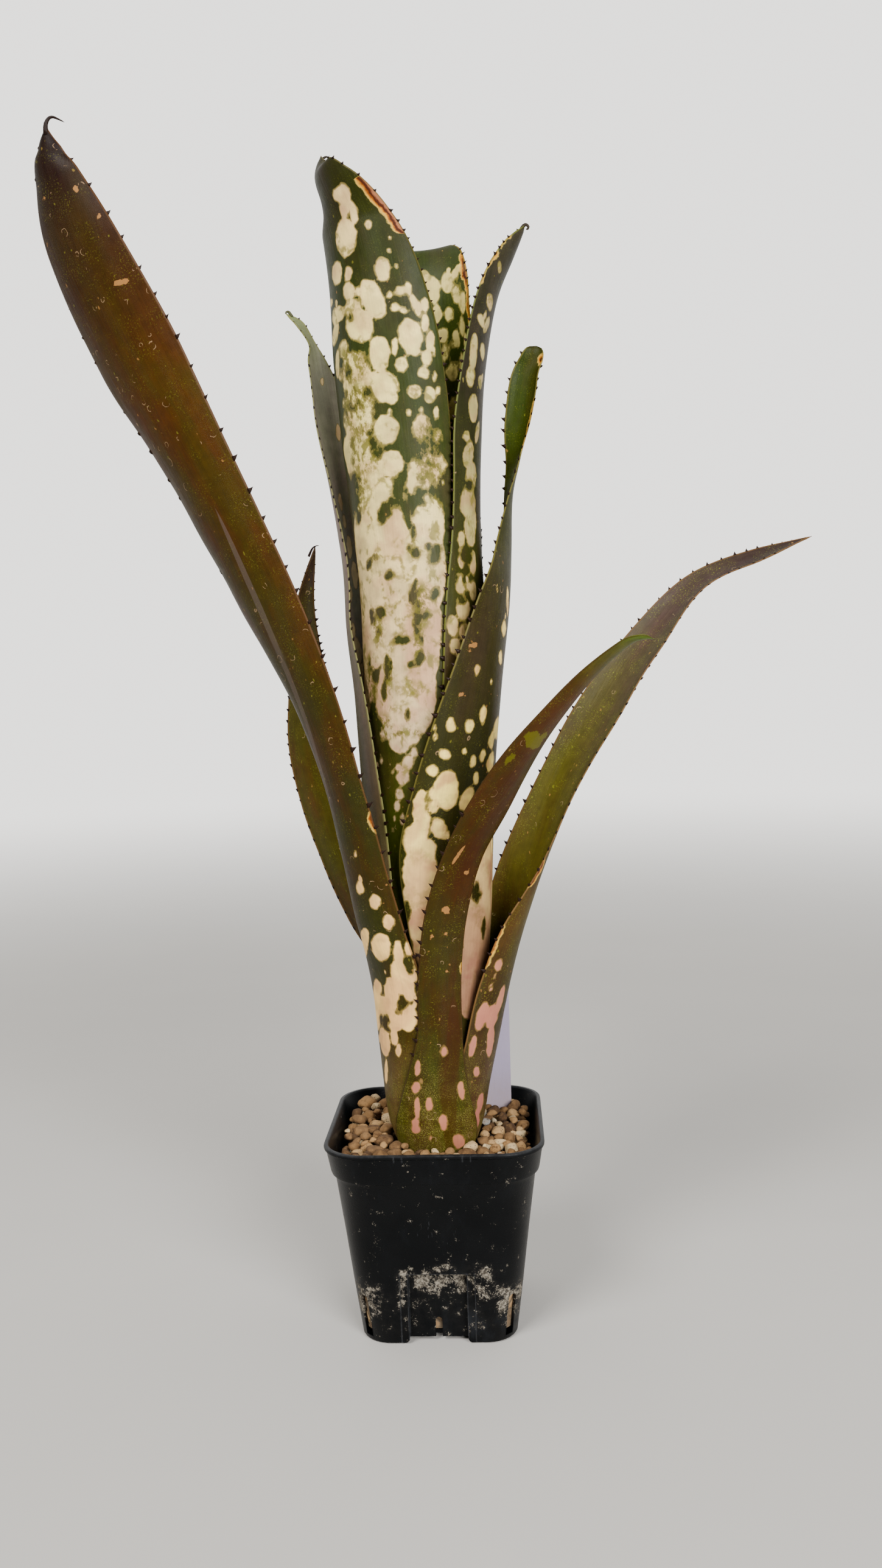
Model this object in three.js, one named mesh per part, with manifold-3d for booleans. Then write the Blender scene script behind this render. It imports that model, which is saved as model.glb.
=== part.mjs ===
// Potted billbergia hybrid: a tall, narrow bromeliad rosette in a square nursery pot.
// Units are millimetres, +Z is up and the origin is the centre of the pot's underside.
// +X is to the right and -Y to the front of the plant as it is usually shown.

import * as THREE from 'three';
import { mergeVertices } from 'three/addons/utils/BufferGeometryUtils.js';
import Module from 'manifold-3d';

// Pot: a tapered square cup whose rim is a deeper, wider band
const POT_HEIGHT = 83.5;
const RIM_HALF_WIDTH = 45;
const RIM_CORNER = 17.4;
const LIP_HEIGHT = 1.8;
const LIP_STEP = 0.7;
const BAND_HEIGHT = 12.6;
const BAND_HALF_WIDTH = 42.6;
const BAND_CHAMFER = 2;
const BODY_TOP_HALF_WIDTH = 41.4;
const BODY_TOP_CORNER = 19;
const BASE_HALF_WIDTH = 32.2;
const BASE_CORNER = 12.7;
const WALL = 1.3;
const RIM_WALL = 2.1;
const FLOOR_THICKNESS = 1.6;
const LIP_EDGE = 0.5;
const BAND_ROOT = 0.4;
const CORNER_SEGMENTS = 4;

// Each side has a recessed panel with a drain slot above a notch in the underside, and each
// corner has a tall slot above its foot
const NOTCH_HEIGHT = 1.8;
const NOTCH_END = 17;
const PANEL_WIDTH = 24;
const PANEL_HEIGHT = 31;
const PANEL_DEPTH = 2.6;
const DRAIN_WIDTH = 2.8;
const DRAIN_DEPTH = 6;
const DRAIN_TOP = 10;
const CORNER_SLOT_WIDTH = 4.4;
const CORNER_SLOT_DEPTH = 8;
const CORNER_SLOT_BOTTOM = 4;
const CORNER_SLOT_TOP = 21;
const FLOOR_HOLE_RADIUS = 3.2;
const FLOOR_HOLE_OFFSET = 22;
const FLOOR_HOLE_SEGMENTS = 10;
const CUT_OVERRUN = 1;

// Gravel, with a clear gap to the pot, the stem, the sheaths and the label
const GRAVEL_TOP = 74;
const STONE_PITCH = 7.6;
const STONE_RELIEF = 2.4;
const STONE_SHIFT = 0.5;
const STONE_STAGGER = 0.5;
const STONE_TOP_SHARE = 0.62;
const STONE_RISE_RANGE = [0.75, 1.25];
const STONE_TILT_RANGE = [0.85, 1.15];
const STONE_SEED = 7;
const BAND_SHOULDER = 0.6;
const FIT_GAP = 0.3;
const SHEATH_GAP = 0.5;

// Nest of sheaths: the radius of the outermost layer at each height
const NEST = [
  [60, 14.2], [66, 15.6], [75, 18.2], [85, 21.4], [100, 23.2], [120, 24.8], [145, 27.2],
  [170, 29.4], [200, 31], [230, 32.6], [265, 34.2], [300, 34.4], [335, 33.6],
];
const LAYER_PITCH = 1.4;

// Stem: a short cone inside the nest, standing in a plain hole in the gravel
const STEM_BOTTOM = 50;
const STEM_EDGE = [1, 2];
const STEM_CROWN_SHARE = 0.6;
const STEM_CROWN_RISE = [5, 7];
const STEM_SEGMENTS = 28;
const SEAT_GAP = 0.35;
const HOLE_SHOULDER = 62;
const HOLE_TOP = 85;

// Blades and the spines on their margins
const KEEL_THICKNESS = 0.75;
const MARGIN_THICKNESS = 0.62;
const ROW_STEP = 20;
const FEWEST_ROWS = 4;
const TIP_CROWDING = 1.3;
const LENGTH_SAMPLES = 240;
const TANGENT_STEP = 1e-3;
const SPINE_PITCH = 19;
const SPINE_LENGTH = 2.2;
const SPINE_BASE = 2.4;
const SPINE_LEAN = 0.9;
const SPINE_START = 128;

// Plain upright label behind the plant
const LABEL = { width: 15, thickness: 0.9, bottom: 48, top: 172, corner: 2, x: 24.6, y: 29 };
const LABEL_CORNER_SEGMENTS = 3;

const POT_COLOUR = 0x1b1d1f;
const GRAVEL_COLOUR = 0xa98c6c;
const STEM_COLOUR = 0xb9b48a;
const LABEL_COLOUR = 0xe4e3ea;

// Leaves from the outermost sheath to the innermost. A sheath row is
// [height, azimuth of the keel, half turn of the wrap], on the leaf's own layer of the nest.
// A blade row is [x, y, z, half width, half turn, azimuth that the leaf's back faces].
// Rows are cut level as far as the nest, or for the number of rows that `level` gives,
// and square to the keel beyond.
const LEAVES = [
  {
    name: 'leaf_front', layer: 0, columns: 8, colour: 0x5a5a22,
    sheath: [[66, -88, 62], [75, -88, 60], [85, -88, 52], [100, -87, 37]],
    blade: [
      [3.6, -25.2, 123, 9.8, 26, -86], [4.6, -28.3, 150, 9, 24, -84], [8.3, -32, 176, 9, 26, -80],
      [16.4, -37, 200, 9.4, 28, -68], [29, -43, 220.2, 12.6, 32, -50],
      [45.5, -50, 244.5, 13.6, 34, -30], [64.6, -57, 268, 9.6, 34, -22],
      [78, -63.8, 280.6, 6.6, 30, -26], [84.3, -67.2, 283, 4.8, 28, -30],
      [88, -70, 282.6, 0, 20, -35],
    ],
  },
  {
    name: 'leaf_left', layer: 1, columns: 8, colour: 0x54471f,
    sheath: [
      [68, -160, 68], [75, -160, 68], [85, -160, 68], [100, -157, 66], [120, -148, 54],
      [145, -141, 46],
    ],
    blade: [
      [-26, -20, 170, 20, 50, -145], [-31, -24, 197, 18.5, 50, -148],
      [-36, -28.5, 225, 17, 46, -146], [-46, -33, 262, 17, 42, -134],
      [-60.6, -39, 300, 18, 38, -120], [-80, -46, 345, 18.5, 34, -112],
      [-102.6, -53, 392, 21.3, 30, -106], [-119, -59, 431, 18, 28, -106],
      [-126, -62, 456, 11, 34, -106], [-126.5, -63, 472, 3.5, 40, -106],
      [-120, -63, 475, 0, 20, -106],
    ],
  },
  {
    name: 'leaf_right', layer: 1, columns: 8, colour: 0x4e5c2a,
    sheath: [[71, -9, 72], [75, -9, 72], [85, -9, 71]],
    blade: [
      [22.8, -3, 100, 24, 65, -9], [27.3, -3, 120, 19.6, 54, -7], [33, -3, 145, 18, 56, 0],
      [39, -1, 168, 17, 56, 12], [46.5, 4, 196, 13.8, 46, 38], [59, 9, 226, 14, 38, 46],
      [74, 14, 252, 14, 32, 52], [93, 19, 280, 11.5, 28, 56], [116.5, 25, 307, 7, 28, 60],
      [144, 32, 319, 5, 34, 62], [170, 40, 328, 0, 20, 62],
    ],
  },
  {
    name: 'leaf_back_left', layer: 2, columns: 8, colour: 0x4c5a2c,
    sheath: [[74, 150, 85], [85, 150, 84], [100, 145, 60], [120, 137, 27]],
    blade: [
      [-20, 19.5, 145, 9.5, 28, 140], [-32, 26, 165, 12.5, 38, 142], [-42.5, 33, 188, 13, 40, 138],
      [-51, 38, 215, 13, 34, 135], [-55.5, 42, 242, 12.5, 30, 130],
      [-55.5, 44, 272, 9.5, 30, 128], [-55.5, 45, 303, 5, 34, 128], [-49.4, 46, 332, 0, 20, 125],
    ],
  },
  {
    name: 'leaf_front_right', layer: 3, columns: 10, colour: 0x4f5a35,
    sheath: [
      [77, -22, 80], [85, -22, 80], [100, -22, 80], [120, -22, 80], [145, -22, 78],
      [170, -22, 86], [200, -22, 91], [230, -18, 78],
    ],
    blade: [
      [31.6, -6.5, 265, 33.5, 62, -14], [36.2, -3, 300, 27.5, 46, -9], [37.6, 0, 322, 17.5, 38, -8],
      [38.6, 1.5, 344, 8.5, 30, 3], [40.8, 3, 358, 6, 40, 28], [43, 3.5, 373, 7, 48, 60],
      [45.6, 2.5, 390, 7, 48, 80], [49, 1.5, 400, 4.8, 40, 90], [50.2, 1, 404.5, 0, 30, 90],
    ],
  },
  {
    name: 'leaf_inner_left', layer: 4, columns: 10, colour: 0x5b5a4c,
    sheath: [
      [80, 155, 80], [85, 155, 80], [100, 155, 80], [120, 155, 80], [145, 155, 80],
      [170, 155, 80], [200, 154, 80], [230, 152, 76], [265, 150, 66],
    ],
    blade: [
      [-29, 16.5, 300, 24, 54, 150], [-32.5, 14.5, 330, 17, 50, 152],
      [-35.6, 12.5, 358, 12.5, 50, 142], [-38.8, 12, 385, 10, 50, 128],
      [-41.5, 11, 402, 5.5, 45, 122], [-43, 10.5, 411, 2, 35, 118], [-48, 9, 419, 2.6, 45, 118],
      [-53, 8, 424, 0, 25, 118],
    ],
  },
  {
    name: 'leaf_inner_back', layer: 5, columns: 10, colour: 0x565b3c,
    sheath: [
      [84, 50, 80], [100, 50, 80], [120, 50, 80], [145, 50, 80], [170, 50, 80],
      [200, 50, 78], [230, 50, 70], [265, 50, 58],
    ],
    blade: [
      [16.5, 22.5, 300, 17, 40, 52], [17.5, 27, 330, 12.5, 36, 55], [18.5, 32, 352, 8, 34, 56],
      [19.5, 37, 372, 0, 20, 56],
    ],
  },
  {
    name: 'leaf_tube_right', layer: 6, level: 13, columns: 10, colour: 0x5d6148,
    sheath: [
      [88, 5, 85], [100, 5, 85], [120, 5, 85], [145, 5, 85], [170, 5, 85], [200, 5, 82],
      [230, 5, 80], [265, 4, 74], [300, 4, 69], [335, 4, 58],
    ],
    blade: [
      [26.5, 2, 368, 25, 56, 2], [29, 2.5, 397, 21, 50, 0], [34.4, 2.5, 424, 16.5, 50, -3],
      [41.5, 1.5, 441, 10, 46, -8], [46, 0, 449, 4, 46, -10], [48.5, -1, 452, 0, 25, -10],
    ],
  },
  {
    name: 'leaf_tube_front', layer: 7, level: 14, columns: 10, colour: 0xa9a585,
    sheath: [
      [92, -125, 85], [100, -125, 85], [120, -125, 85], [145, -125, 85], [170, -125, 85],
      [200, -126, 85], [230, -127, 85], [265, -128, 85], [300, -128, 84],
    ],
    blade: [
      [-17.8, -18.8, 335, 35.4, 83, -128], [-19.4, -21.4, 368, 37.2, 82, -126],
      [-22.4, -22.2, 400, 37, 74, -131], [-26, -19, 430, 33.5, 69, -138],
      [-29.8, -16, 450, 28.5, 58, -144], [-33.5, -13.5, 462, 19.3, 45, -149],
      [-36, -11, 471, 12, 32, -152], [-34, -9.5, 479.5, 0, 20, -155],
    ],
  },
  {
    name: 'leaf_tube_back', layer: 8, level: 13, columns: 10, colour: 0x70784a,
    sheath: [
      [96, 78, 80], [100, 78, 80], [120, 78, 80], [145, 78, 80], [170, 78, 80],
      [200, 78, 80], [230, 78, 80], [265, 78, 80], [300, 78, 80], [335, 78, 80],
    ],
    blade: [
      [3.5, 24, 368, 31, 74, 80], [3, 27, 400, 29.6, 64, 83], [2, 30, 428, 26, 56, 86],
      [1.5, 33.5, 445, 21.4, 36, 87], [1, 38, 454.5, 17.6, 18, 88], [1, 42.5, 457, 11.2, 12, 88],
      [1, 52, 455, 0, 10, 88],
    ],
  },
];

const DEGREES = Math.PI / 180;
const QUARTER = Math.PI / 2;
const wasm = await Module();
wasm.setup();

// Solids to and from the Boolean library
function toSolid(geometry) {
  const bare = geometry.clone();
  bare.deleteAttribute('normal');
  bare.deleteAttribute('uv');
  const merged = mergeVertices(bare, 1e-4);
  return new wasm.Manifold(new wasm.Mesh({
    numProp: 3,
    vertProperties: new Float32Array(merged.attributes.position.array),
    triVerts: new Uint32Array(merged.index.array),
  }));
}

function toGeometry(solid) {
  const mesh = solid.getMesh();
  const geometry = new THREE.BufferGeometry();
  geometry.setAttribute('position', new THREE.BufferAttribute(mesh.vertProperties, 3));
  geometry.setIndex(new THREE.BufferAttribute(mesh.triVerts, 1));
  geometry.computeVertexNormals();
  return geometry;
}

function block(width, depth, low, high, x = 0, y = 0, turn = 0) {
  const box = new THREE.BoxGeometry(width, depth, high - low);
  return toSolid(box.translate(x, y, (low + high) / 2).rotateZ(turn));
}

function turned(profile, segments) {
  const points = profile.map(([radius, height]) => new THREE.Vector2(radius, height));
  return toSolid(new THREE.LatheGeometry(points, segments).rotateX(QUARTER));
}

function meshOf(name, geometry, colour, roughness) {
  const material = new THREE.MeshStandardMaterial({ color: colour, roughness, metalness: 0 });
  const mesh = new THREE.Mesh(geometry, material);
  mesh.name = name;
  return mesh;
}

// A closed body through square rings with rounded corners: [height, half width, corner radius]
function roundedSquareLoft(levels) {
  const ring = ([height, half, corner]) => {
    const points = [];
    for (let quarter = 0; quarter < 4; quarter++) {
      const signX = quarter === 0 || quarter === 3 ? 1 : -1;
      const signY = quarter < 2 ? 1 : -1;
      for (let k = 0; k <= CORNER_SEGMENTS; k++) {
        const angle = (quarter + k / CORNER_SEGMENTS) * QUARTER;
        points.push([
          signX * (half - corner) + corner * Math.cos(angle),
          signY * (half - corner) + corner * Math.sin(angle),
          height,
        ]);
      }
    }
    return points;
  };
  const rings = levels.map(ring);
  const count = rings[0].length;
  const positions = rings.flat();
  const faces = [];
  for (let i = 0; i + 1 < rings.length; i++) {
    for (let k = 0; k < count; k++) {
      const a = i * count + k;
      const b = i * count + (k + 1) % count;
      faces.push([a, b, b + count], [a, b + count, a + count]);
    }
  }
  const bottom = positions.push([0, 0, levels[0][0]]) - 1;
  const top = positions.push([0, 0, levels.at(-1)[0]]) - 1;
  const last = (rings.length - 1) * count;
  for (let k = 0; k < count; k++) {
    const next = (k + 1) % count;
    faces.push([bottom, next, k], [top, last + k, last + next]);
  }
  return toSolid(indexedGeometry(positions, faces));
}

function indexedGeometry(positions, faces) {
  const geometry = new THREE.BufferGeometry();
  geometry.setAttribute('position', new THREE.Float32BufferAttribute(positions.flat(), 3));
  geometry.setIndex(faces.flat());
  return geometry;
}

// The pot's body, or the same form drawn in by an inset, between two heights
function potBody(inset, low, high) {
  const top = POT_HEIGHT - BAND_HEIGHT;
  const level = (height) => {
    const share = height / top;
    const half = THREE.MathUtils.lerp(BASE_HALF_WIDTH, BODY_TOP_HALF_WIDTH, share) - inset;
    const corner = THREE.MathUtils.lerp(BASE_CORNER, BODY_TOP_CORNER, share) - inset;
    return [height, half, corner];
  };
  const centre = BASE_HALF_WIDTH + PANEL_DEPTH;
  const reach = 4 * PANEL_DEPTH + 2 * inset;
  let body = roundedSquareLoft([level(low), level(high)]);
  for (let side = 0; side < 4; side++) {
    body = body.subtract(block(
      PANEL_WIDTH + 2 * inset, reach, -CUT_OVERRUN, PANEL_HEIGHT + inset, 0, -centre,
      side * QUARTER,
    ));
  }
  return body;
}

function makePot() {
  const bandBottom = POT_HEIGHT - BAND_HEIGHT;
  const lipBottom = POT_HEIGHT - LIP_HEIGHT;
  const bandRoot = BODY_TOP_HALF_WIDTH - BAND_ROOT;
  const band = roundedSquareLoft([
    [bandBottom - BAND_CHAMFER, bandRoot, BODY_TOP_CORNER],
    [bandBottom, BAND_HALF_WIDTH, BODY_TOP_CORNER],
    [lipBottom, RIM_HALF_WIDTH - LIP_STEP, RIM_CORNER],
    [lipBottom + LIP_EDGE, RIM_HALF_WIDTH, RIM_CORNER],
    [POT_HEIGHT, RIM_HALF_WIDTH, RIM_CORNER],
  ]);
  const bandHollow = roundedSquareLoft([
    [bandBottom - BAND_CHAMFER - CUT_OVERRUN, bandRoot - WALL, BODY_TOP_CORNER - WALL],
    [POT_HEIGHT + CUT_OVERRUN, RIM_HALF_WIDTH - RIM_WALL, RIM_CORNER - WALL],
  ]);
  const inside = potBody(WALL, FLOOR_THICKNESS + NOTCH_HEIGHT, bandBottom + CUT_OVERRUN);
  let pot = potBody(0, 0, bandBottom).subtract(inside).add(band.subtract(bandHollow));

  // Notches of the underside, the slots, and the holes of the floor above each notch
  const notchDepth = RIM_HALF_WIDTH - NOTCH_END;
  const front = BASE_HALF_WIDTH - PANEL_DEPTH;
  const cornerReach = BASE_HALF_WIDTH * Math.SQRT2 - BASE_CORNER * (Math.SQRT2 - 1);
  const holeTop = NOTCH_HEIGHT + FLOOR_THICKNESS + CUT_OVERRUN;
  const hole = turned([
    [0, -CUT_OVERRUN], [FLOOR_HOLE_RADIUS, -CUT_OVERRUN], [FLOOR_HOLE_RADIUS, holeTop],
    [0, holeTop],
  ], FLOOR_HOLE_SEGMENTS);
  for (let side = 0; side < 4; side++) {
    const turn = side * QUARTER;
    pot = pot.subtract(block(
      PANEL_WIDTH, notchDepth, -CUT_OVERRUN, NOTCH_HEIGHT, 0, -NOTCH_END - notchDepth / 2, turn,
    ));
    pot = pot.subtract(block(
      DRAIN_WIDTH, DRAIN_DEPTH, -CUT_OVERRUN, DRAIN_TOP, 0, -front, turn,
    ));
    pot = pot.subtract(block(
      CORNER_SLOT_WIDTH, CORNER_SLOT_DEPTH, CORNER_SLOT_BOTTOM, CORNER_SLOT_TOP, 0,
      -cornerReach, turn + QUARTER / 2,
    ));
    pot = pot.subtract(hole.translate([
      FLOOR_HOLE_OFFSET * Math.cos(turn), FLOOR_HOLE_OFFSET * Math.sin(turn), 0,
    ]));
  }
  return meshOf('pot', toGeometry(pot), POT_COLOUR, 0.6);
}

// Nest
function nestRadius(height, layer) {
  let k = 1;
  while (k < NEST.length - 1 && NEST[k][0] < height) k++;
  const [lowHeight, lowRadius] = NEST[k - 1];
  const [highHeight, highRadius] = NEST[k];
  const share = (height - lowHeight) / (highHeight - lowHeight);
  return THREE.MathUtils.lerp(lowRadius, highRadius, share) - layer * LAYER_PITCH;
}

function seatRadius(leaf) {
  return nestRadius(leaf.sheath[0][0], leaf.layer) - KEEL_THICKNESS / 2 - SEAT_GAP;
}

function makeStem() {
  const seats = LEAVES.map((leaf) => [seatRadius(leaf), leaf.sheath[0][0]]);
  const [lowRadius] = seats[0];
  const [highRadius, highHeight] = seats.at(-1);
  const [edgeInset, edgeRise] = STEM_EDGE;
  const [crownRise, crownTop] = STEM_CROWN_RISE;
  const profile = [
    [0, STEM_BOTTOM], [lowRadius - edgeInset, STEM_BOTTOM], [lowRadius, STEM_BOTTOM + edgeRise],
    ...seats,
    [highRadius * STEM_CROWN_SHARE, highHeight + crownRise], [0, highHeight + crownTop],
  ];
  return meshOf('stem', toGeometry(turned(profile, STEM_SEGMENTS)), STEM_COLOUR, 0.7);
}

// Gravel: a staggered grid of flat-topped stones, cut to the inside of the pot
function seededRandom(seed) {
  const modulus = 4294967296;
  const multiplier = 1664525;
  const increment = 1013904223;
  let state = seed;
  return () => {
    state = (state * multiplier + increment) % modulus;
    return state / modulus;
  };
}

function stoneField() {
  const random = seededRandom(STONE_SEED);
  const within = ([low, high]) => THREE.MathUtils.lerp(low, high, random());
  const shift = () => STONE_SHIFT * (random() - 0.5);
  const count = Math.ceil(2 * RIM_HALF_WIDTH / STONE_PITCH) + 2;
  const start = -count * STONE_PITCH / 2;
  const level = GRAVEL_TOP - STONE_RELIEF;
  const joint = (i, j) => i * (count + 1) + j;
  const positions = [];
  const faces = [];
  for (let i = 0; i <= count; i++) {
    for (let j = 0; j <= count; j++) {
      const free = i === 0 || j === 0 || i === count || j === count ? 0 : 1;
      const x = i + free * (shift() + STONE_STAGGER * (j % 2));
      const y = j + free * shift();
      positions.push([start + x * STONE_PITCH, start + y * STONE_PITCH, level]);
    }
  }

  // One raised top per cell and its four sloping sides
  for (let i = 0; i < count; i++) {
    for (let j = 0; j < count; j++) {
      const ring = [joint(i, j), joint(i + 1, j), joint(i + 1, j + 1), joint(i, j + 1)];
      const corners = ring.map((index) => positions[index]);
      const middle = [0, 1].map((axis) => corners.reduce((sum, c) => sum + c[axis], 0) / 4);
      const rise = STONE_RELIEF * within(STONE_RISE_RANGE);
      const top = corners.map(([x, y]) => positions.push([
        THREE.MathUtils.lerp(middle[0], x, STONE_TOP_SHARE),
        THREE.MathUtils.lerp(middle[1], y, STONE_TOP_SHARE),
        level + rise * within(STONE_TILT_RANGE),
      ]) - 1);
      faces.push([top[0], top[1], top[2]], [top[0], top[2], top[3]]);
      for (let k = 0; k < 4; k++) {
        const next = (k + 1) % 4;
        faces.push([ring[k], ring[next], top[next]], [ring[k], top[next], top[k]]);
      }
    }
  }

  // Sides and underside of the block
  const low = positions.length;
  for (const index of [joint(0, 0), joint(count, 0), joint(count, count), joint(0, count)]) {
    positions.push([positions[index][0], positions[index][1], FLOOR_THICKNESS]);
  }
  faces.push([low, low + 2, low + 1], [low, low + 3, low + 2]);
  const sides = [
    [low, low + 1, (k) => joint(k, 0)], [low + 1, low + 2, (k) => joint(count, k)],
    [low + 2, low + 3, (k) => joint(count - k, count)], [low + 3, low, (k) => joint(0, count - k)],
  ];
  for (const [from, to, at] of sides) {
    faces.push([from, to, at(count)]);
    for (let k = 0; k < count; k++) faces.push([from, at(k + 1), at(k)]);
  }
  return toSolid(indexedGeometry(positions, faces));
}

function makeGravel() {
  const inset = WALL + FIT_GAP;
  const level = POT_HEIGHT - BAND_HEIGHT - BAND_CHAMFER;
  const half = BODY_TOP_HALF_WIDTH - inset;
  const corner = BODY_TOP_CORNER - inset;
  const room = potBody(inset, FLOOR_THICKNESS + NOTCH_HEIGHT + FIT_GAP, level)
    .add(roundedSquareLoft([
      [level - BAND_SHOULDER, half - BAND_SHOULDER, corner],
      [GRAVEL_TOP + 2 * STONE_RELIEF, half, corner],
    ]));
  const clear = KEEL_THICKNESS / 2 + SHEATH_GAP;
  const bottom = STEM_BOTTOM - FIT_GAP;
  const nestRows = NEST.filter(([height]) => height > HOLE_SHOULDER && height <= HOLE_TOP);
  const hole = turned([
    [0, bottom], [seatRadius(LEAVES[0]) + FIT_GAP, bottom],
    [nestRadius(HOLE_SHOULDER, 0) + clear, HOLE_SHOULDER],
    ...nestRows.map(([height, radius]) => [radius + clear, height]), [0, HOLE_TOP],
  ], STEM_SEGMENTS);
  const slot = block(
    LABEL.width + 2 * FIT_GAP, LABEL.thickness + 2 * FIT_GAP, LABEL.bottom - FIT_GAP,
    POT_HEIGHT, LABEL.x, LABEL.y,
  );
  const gravel = stoneField().intersect(room).subtract(hole).subtract(slot);
  return meshOf('gravel', toGeometry(gravel), GRAVEL_COLOUR, 0.9);
}

// Label: a flat strip with a pointed foot and rounded upper corners
function makeLabel() {
  const { width, thickness, bottom, top, corner, x, y } = LABEL;
  const half = width / 2;
  const outline = new THREE.Shape();
  outline.moveTo(0, bottom);
  outline.lineTo(half, bottom + half);
  outline.lineTo(half, top - corner);
  outline.quadraticCurveTo(half, top, half - corner, top);
  outline.lineTo(corner - half, top);
  outline.quadraticCurveTo(-half, top, -half, top - corner);
  outline.lineTo(-half, bottom + half);
  const geometry = new THREE.ExtrudeGeometry(outline, {
    depth: thickness, bevelEnabled: false, curveSegments: LABEL_CORNER_SEGMENTS,
  });
  geometry.rotateX(QUARTER).translate(x, y + thickness / 2, 0);
  return meshOf('plant_label', geometry, LABEL_COLOUR, 0.45);
}

// Leaves. The stations of one leaf, as blade rows from its base to its tip
function stationsOf({ layer, sheath, blade, level = sheath.length }) {
  const wrapped = sheath.map(([height, azimuth, turn]) => {
    const radius = nestRadius(height, layer);
    return [
      radius * Math.cos(azimuth * DEGREES), radius * Math.sin(azimuth * DEGREES), height,
      radius * turn * DEGREES, turn, azimuth,
    ];
  });
  return [...wrapped, ...blade].map((row, k) => [...row, k < level ? 0 : 1]);
}

// A smooth value through the stations at place t, where station k lies at t = k
function along(stations, t) {
  const last = stations.length - 1;
  const k = Math.min(Math.floor(t), last - 1);
  const f = t - k;
  const at = (index, axis) => {
    if (index < 0) return 2 * stations[0][axis] - stations[1][axis];
    if (index > last) return 2 * stations[last][axis] - stations[last - 1][axis];
    return stations[index][axis];
  };
  return stations[0].map((_, axis) => {
    const [a, b, c, d] = [-1, 0, 1, 2].map((step) => at(k + step, axis));
    return b + 0.5 * f * (c - a + f * (2 * a - 5 * b + 4 * c - d + f * (3 * (b - c) + d - a)));
  });
}

// Places of the rows: every sheath station, then rows that crowd towards the tip
function rowPlaces(stations, sheathCount) {
  const samples = LENGTH_SAMPLES;
  const first = sheathCount - 1;
  const last = stations.length - 1;
  const lengths = [0];
  let before = new THREE.Vector3(...along(stations, first));
  for (let k = 1; k <= samples; k++) {
    const here = new THREE.Vector3(...along(stations, first + (last - first) * k / samples));
    lengths.push(lengths[k - 1] + here.distanceTo(before));
    before = here;
  }
  const total = lengths[samples];
  const count = Math.max(FEWEST_ROWS, Math.round(total / ROW_STEP) + 1);
  const places = Array.from({ length: sheathCount }, (_, k) => k);
  for (let k = 1; k < count; k++) {
    const goal = total * (1 - (1 - k / count) ** TIP_CROWDING);
    const index = lengths.findIndex((length) => length >= goal);
    places.push(first + (last - first) * index / samples);
  }
  return places;
}

// One row of the blade: points and normals across it, as an arc that opens from the keel
function bladeRow(stations, t, columns) {
  const [x, y, z, halfWidth, turn, face, square] = along(stations, t);
  const ahead = new THREE.Vector3(...along(stations, t + TANGENT_STEP));
  const behind = new THREE.Vector3(...along(stations, Math.max(0, t - TANGENT_STEP)));
  const tangent = new THREE.Vector3(0, 0, 1)
    .lerp(ahead.sub(behind).normalize(), THREE.MathUtils.clamp(square, 0, 1)).normalize();
  const lean = new THREE.Vector3(-Math.cos(face * DEGREES), -Math.sin(face * DEGREES), 1);
  const inward = lean.addScaledVector(tangent, -lean.dot(tangent)).normalize();
  const across = new THREE.Vector3().crossVectors(inward, tangent);
  const curl = Math.max(turn, 1) * DEGREES;
  const row = [];
  for (let k = 0; k <= columns; k++) {
    const share = 2 * k / columns - 1;
    const angle = curl * share;
    const point = new THREE.Vector3(x, y, z)
      .addScaledVector(across, halfWidth * Math.sin(angle) / curl)
      .addScaledVector(inward, halfWidth * (1 - Math.cos(angle)) / curl);
    const normal = inward.clone().multiplyScalar(Math.cos(angle))
      .addScaledVector(across, -Math.sin(angle));
    const outwards = across.clone().multiplyScalar(Math.cos(angle))
      .addScaledVector(inward, Math.sin(angle)).multiplyScalar(Math.sign(share));
    const half = THREE.MathUtils.lerp(KEEL_THICKNESS, MARGIN_THICKNESS, share * share) / 2;
    row.push({ point, normal, outwards, half });
  }
  return row;
}

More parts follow.
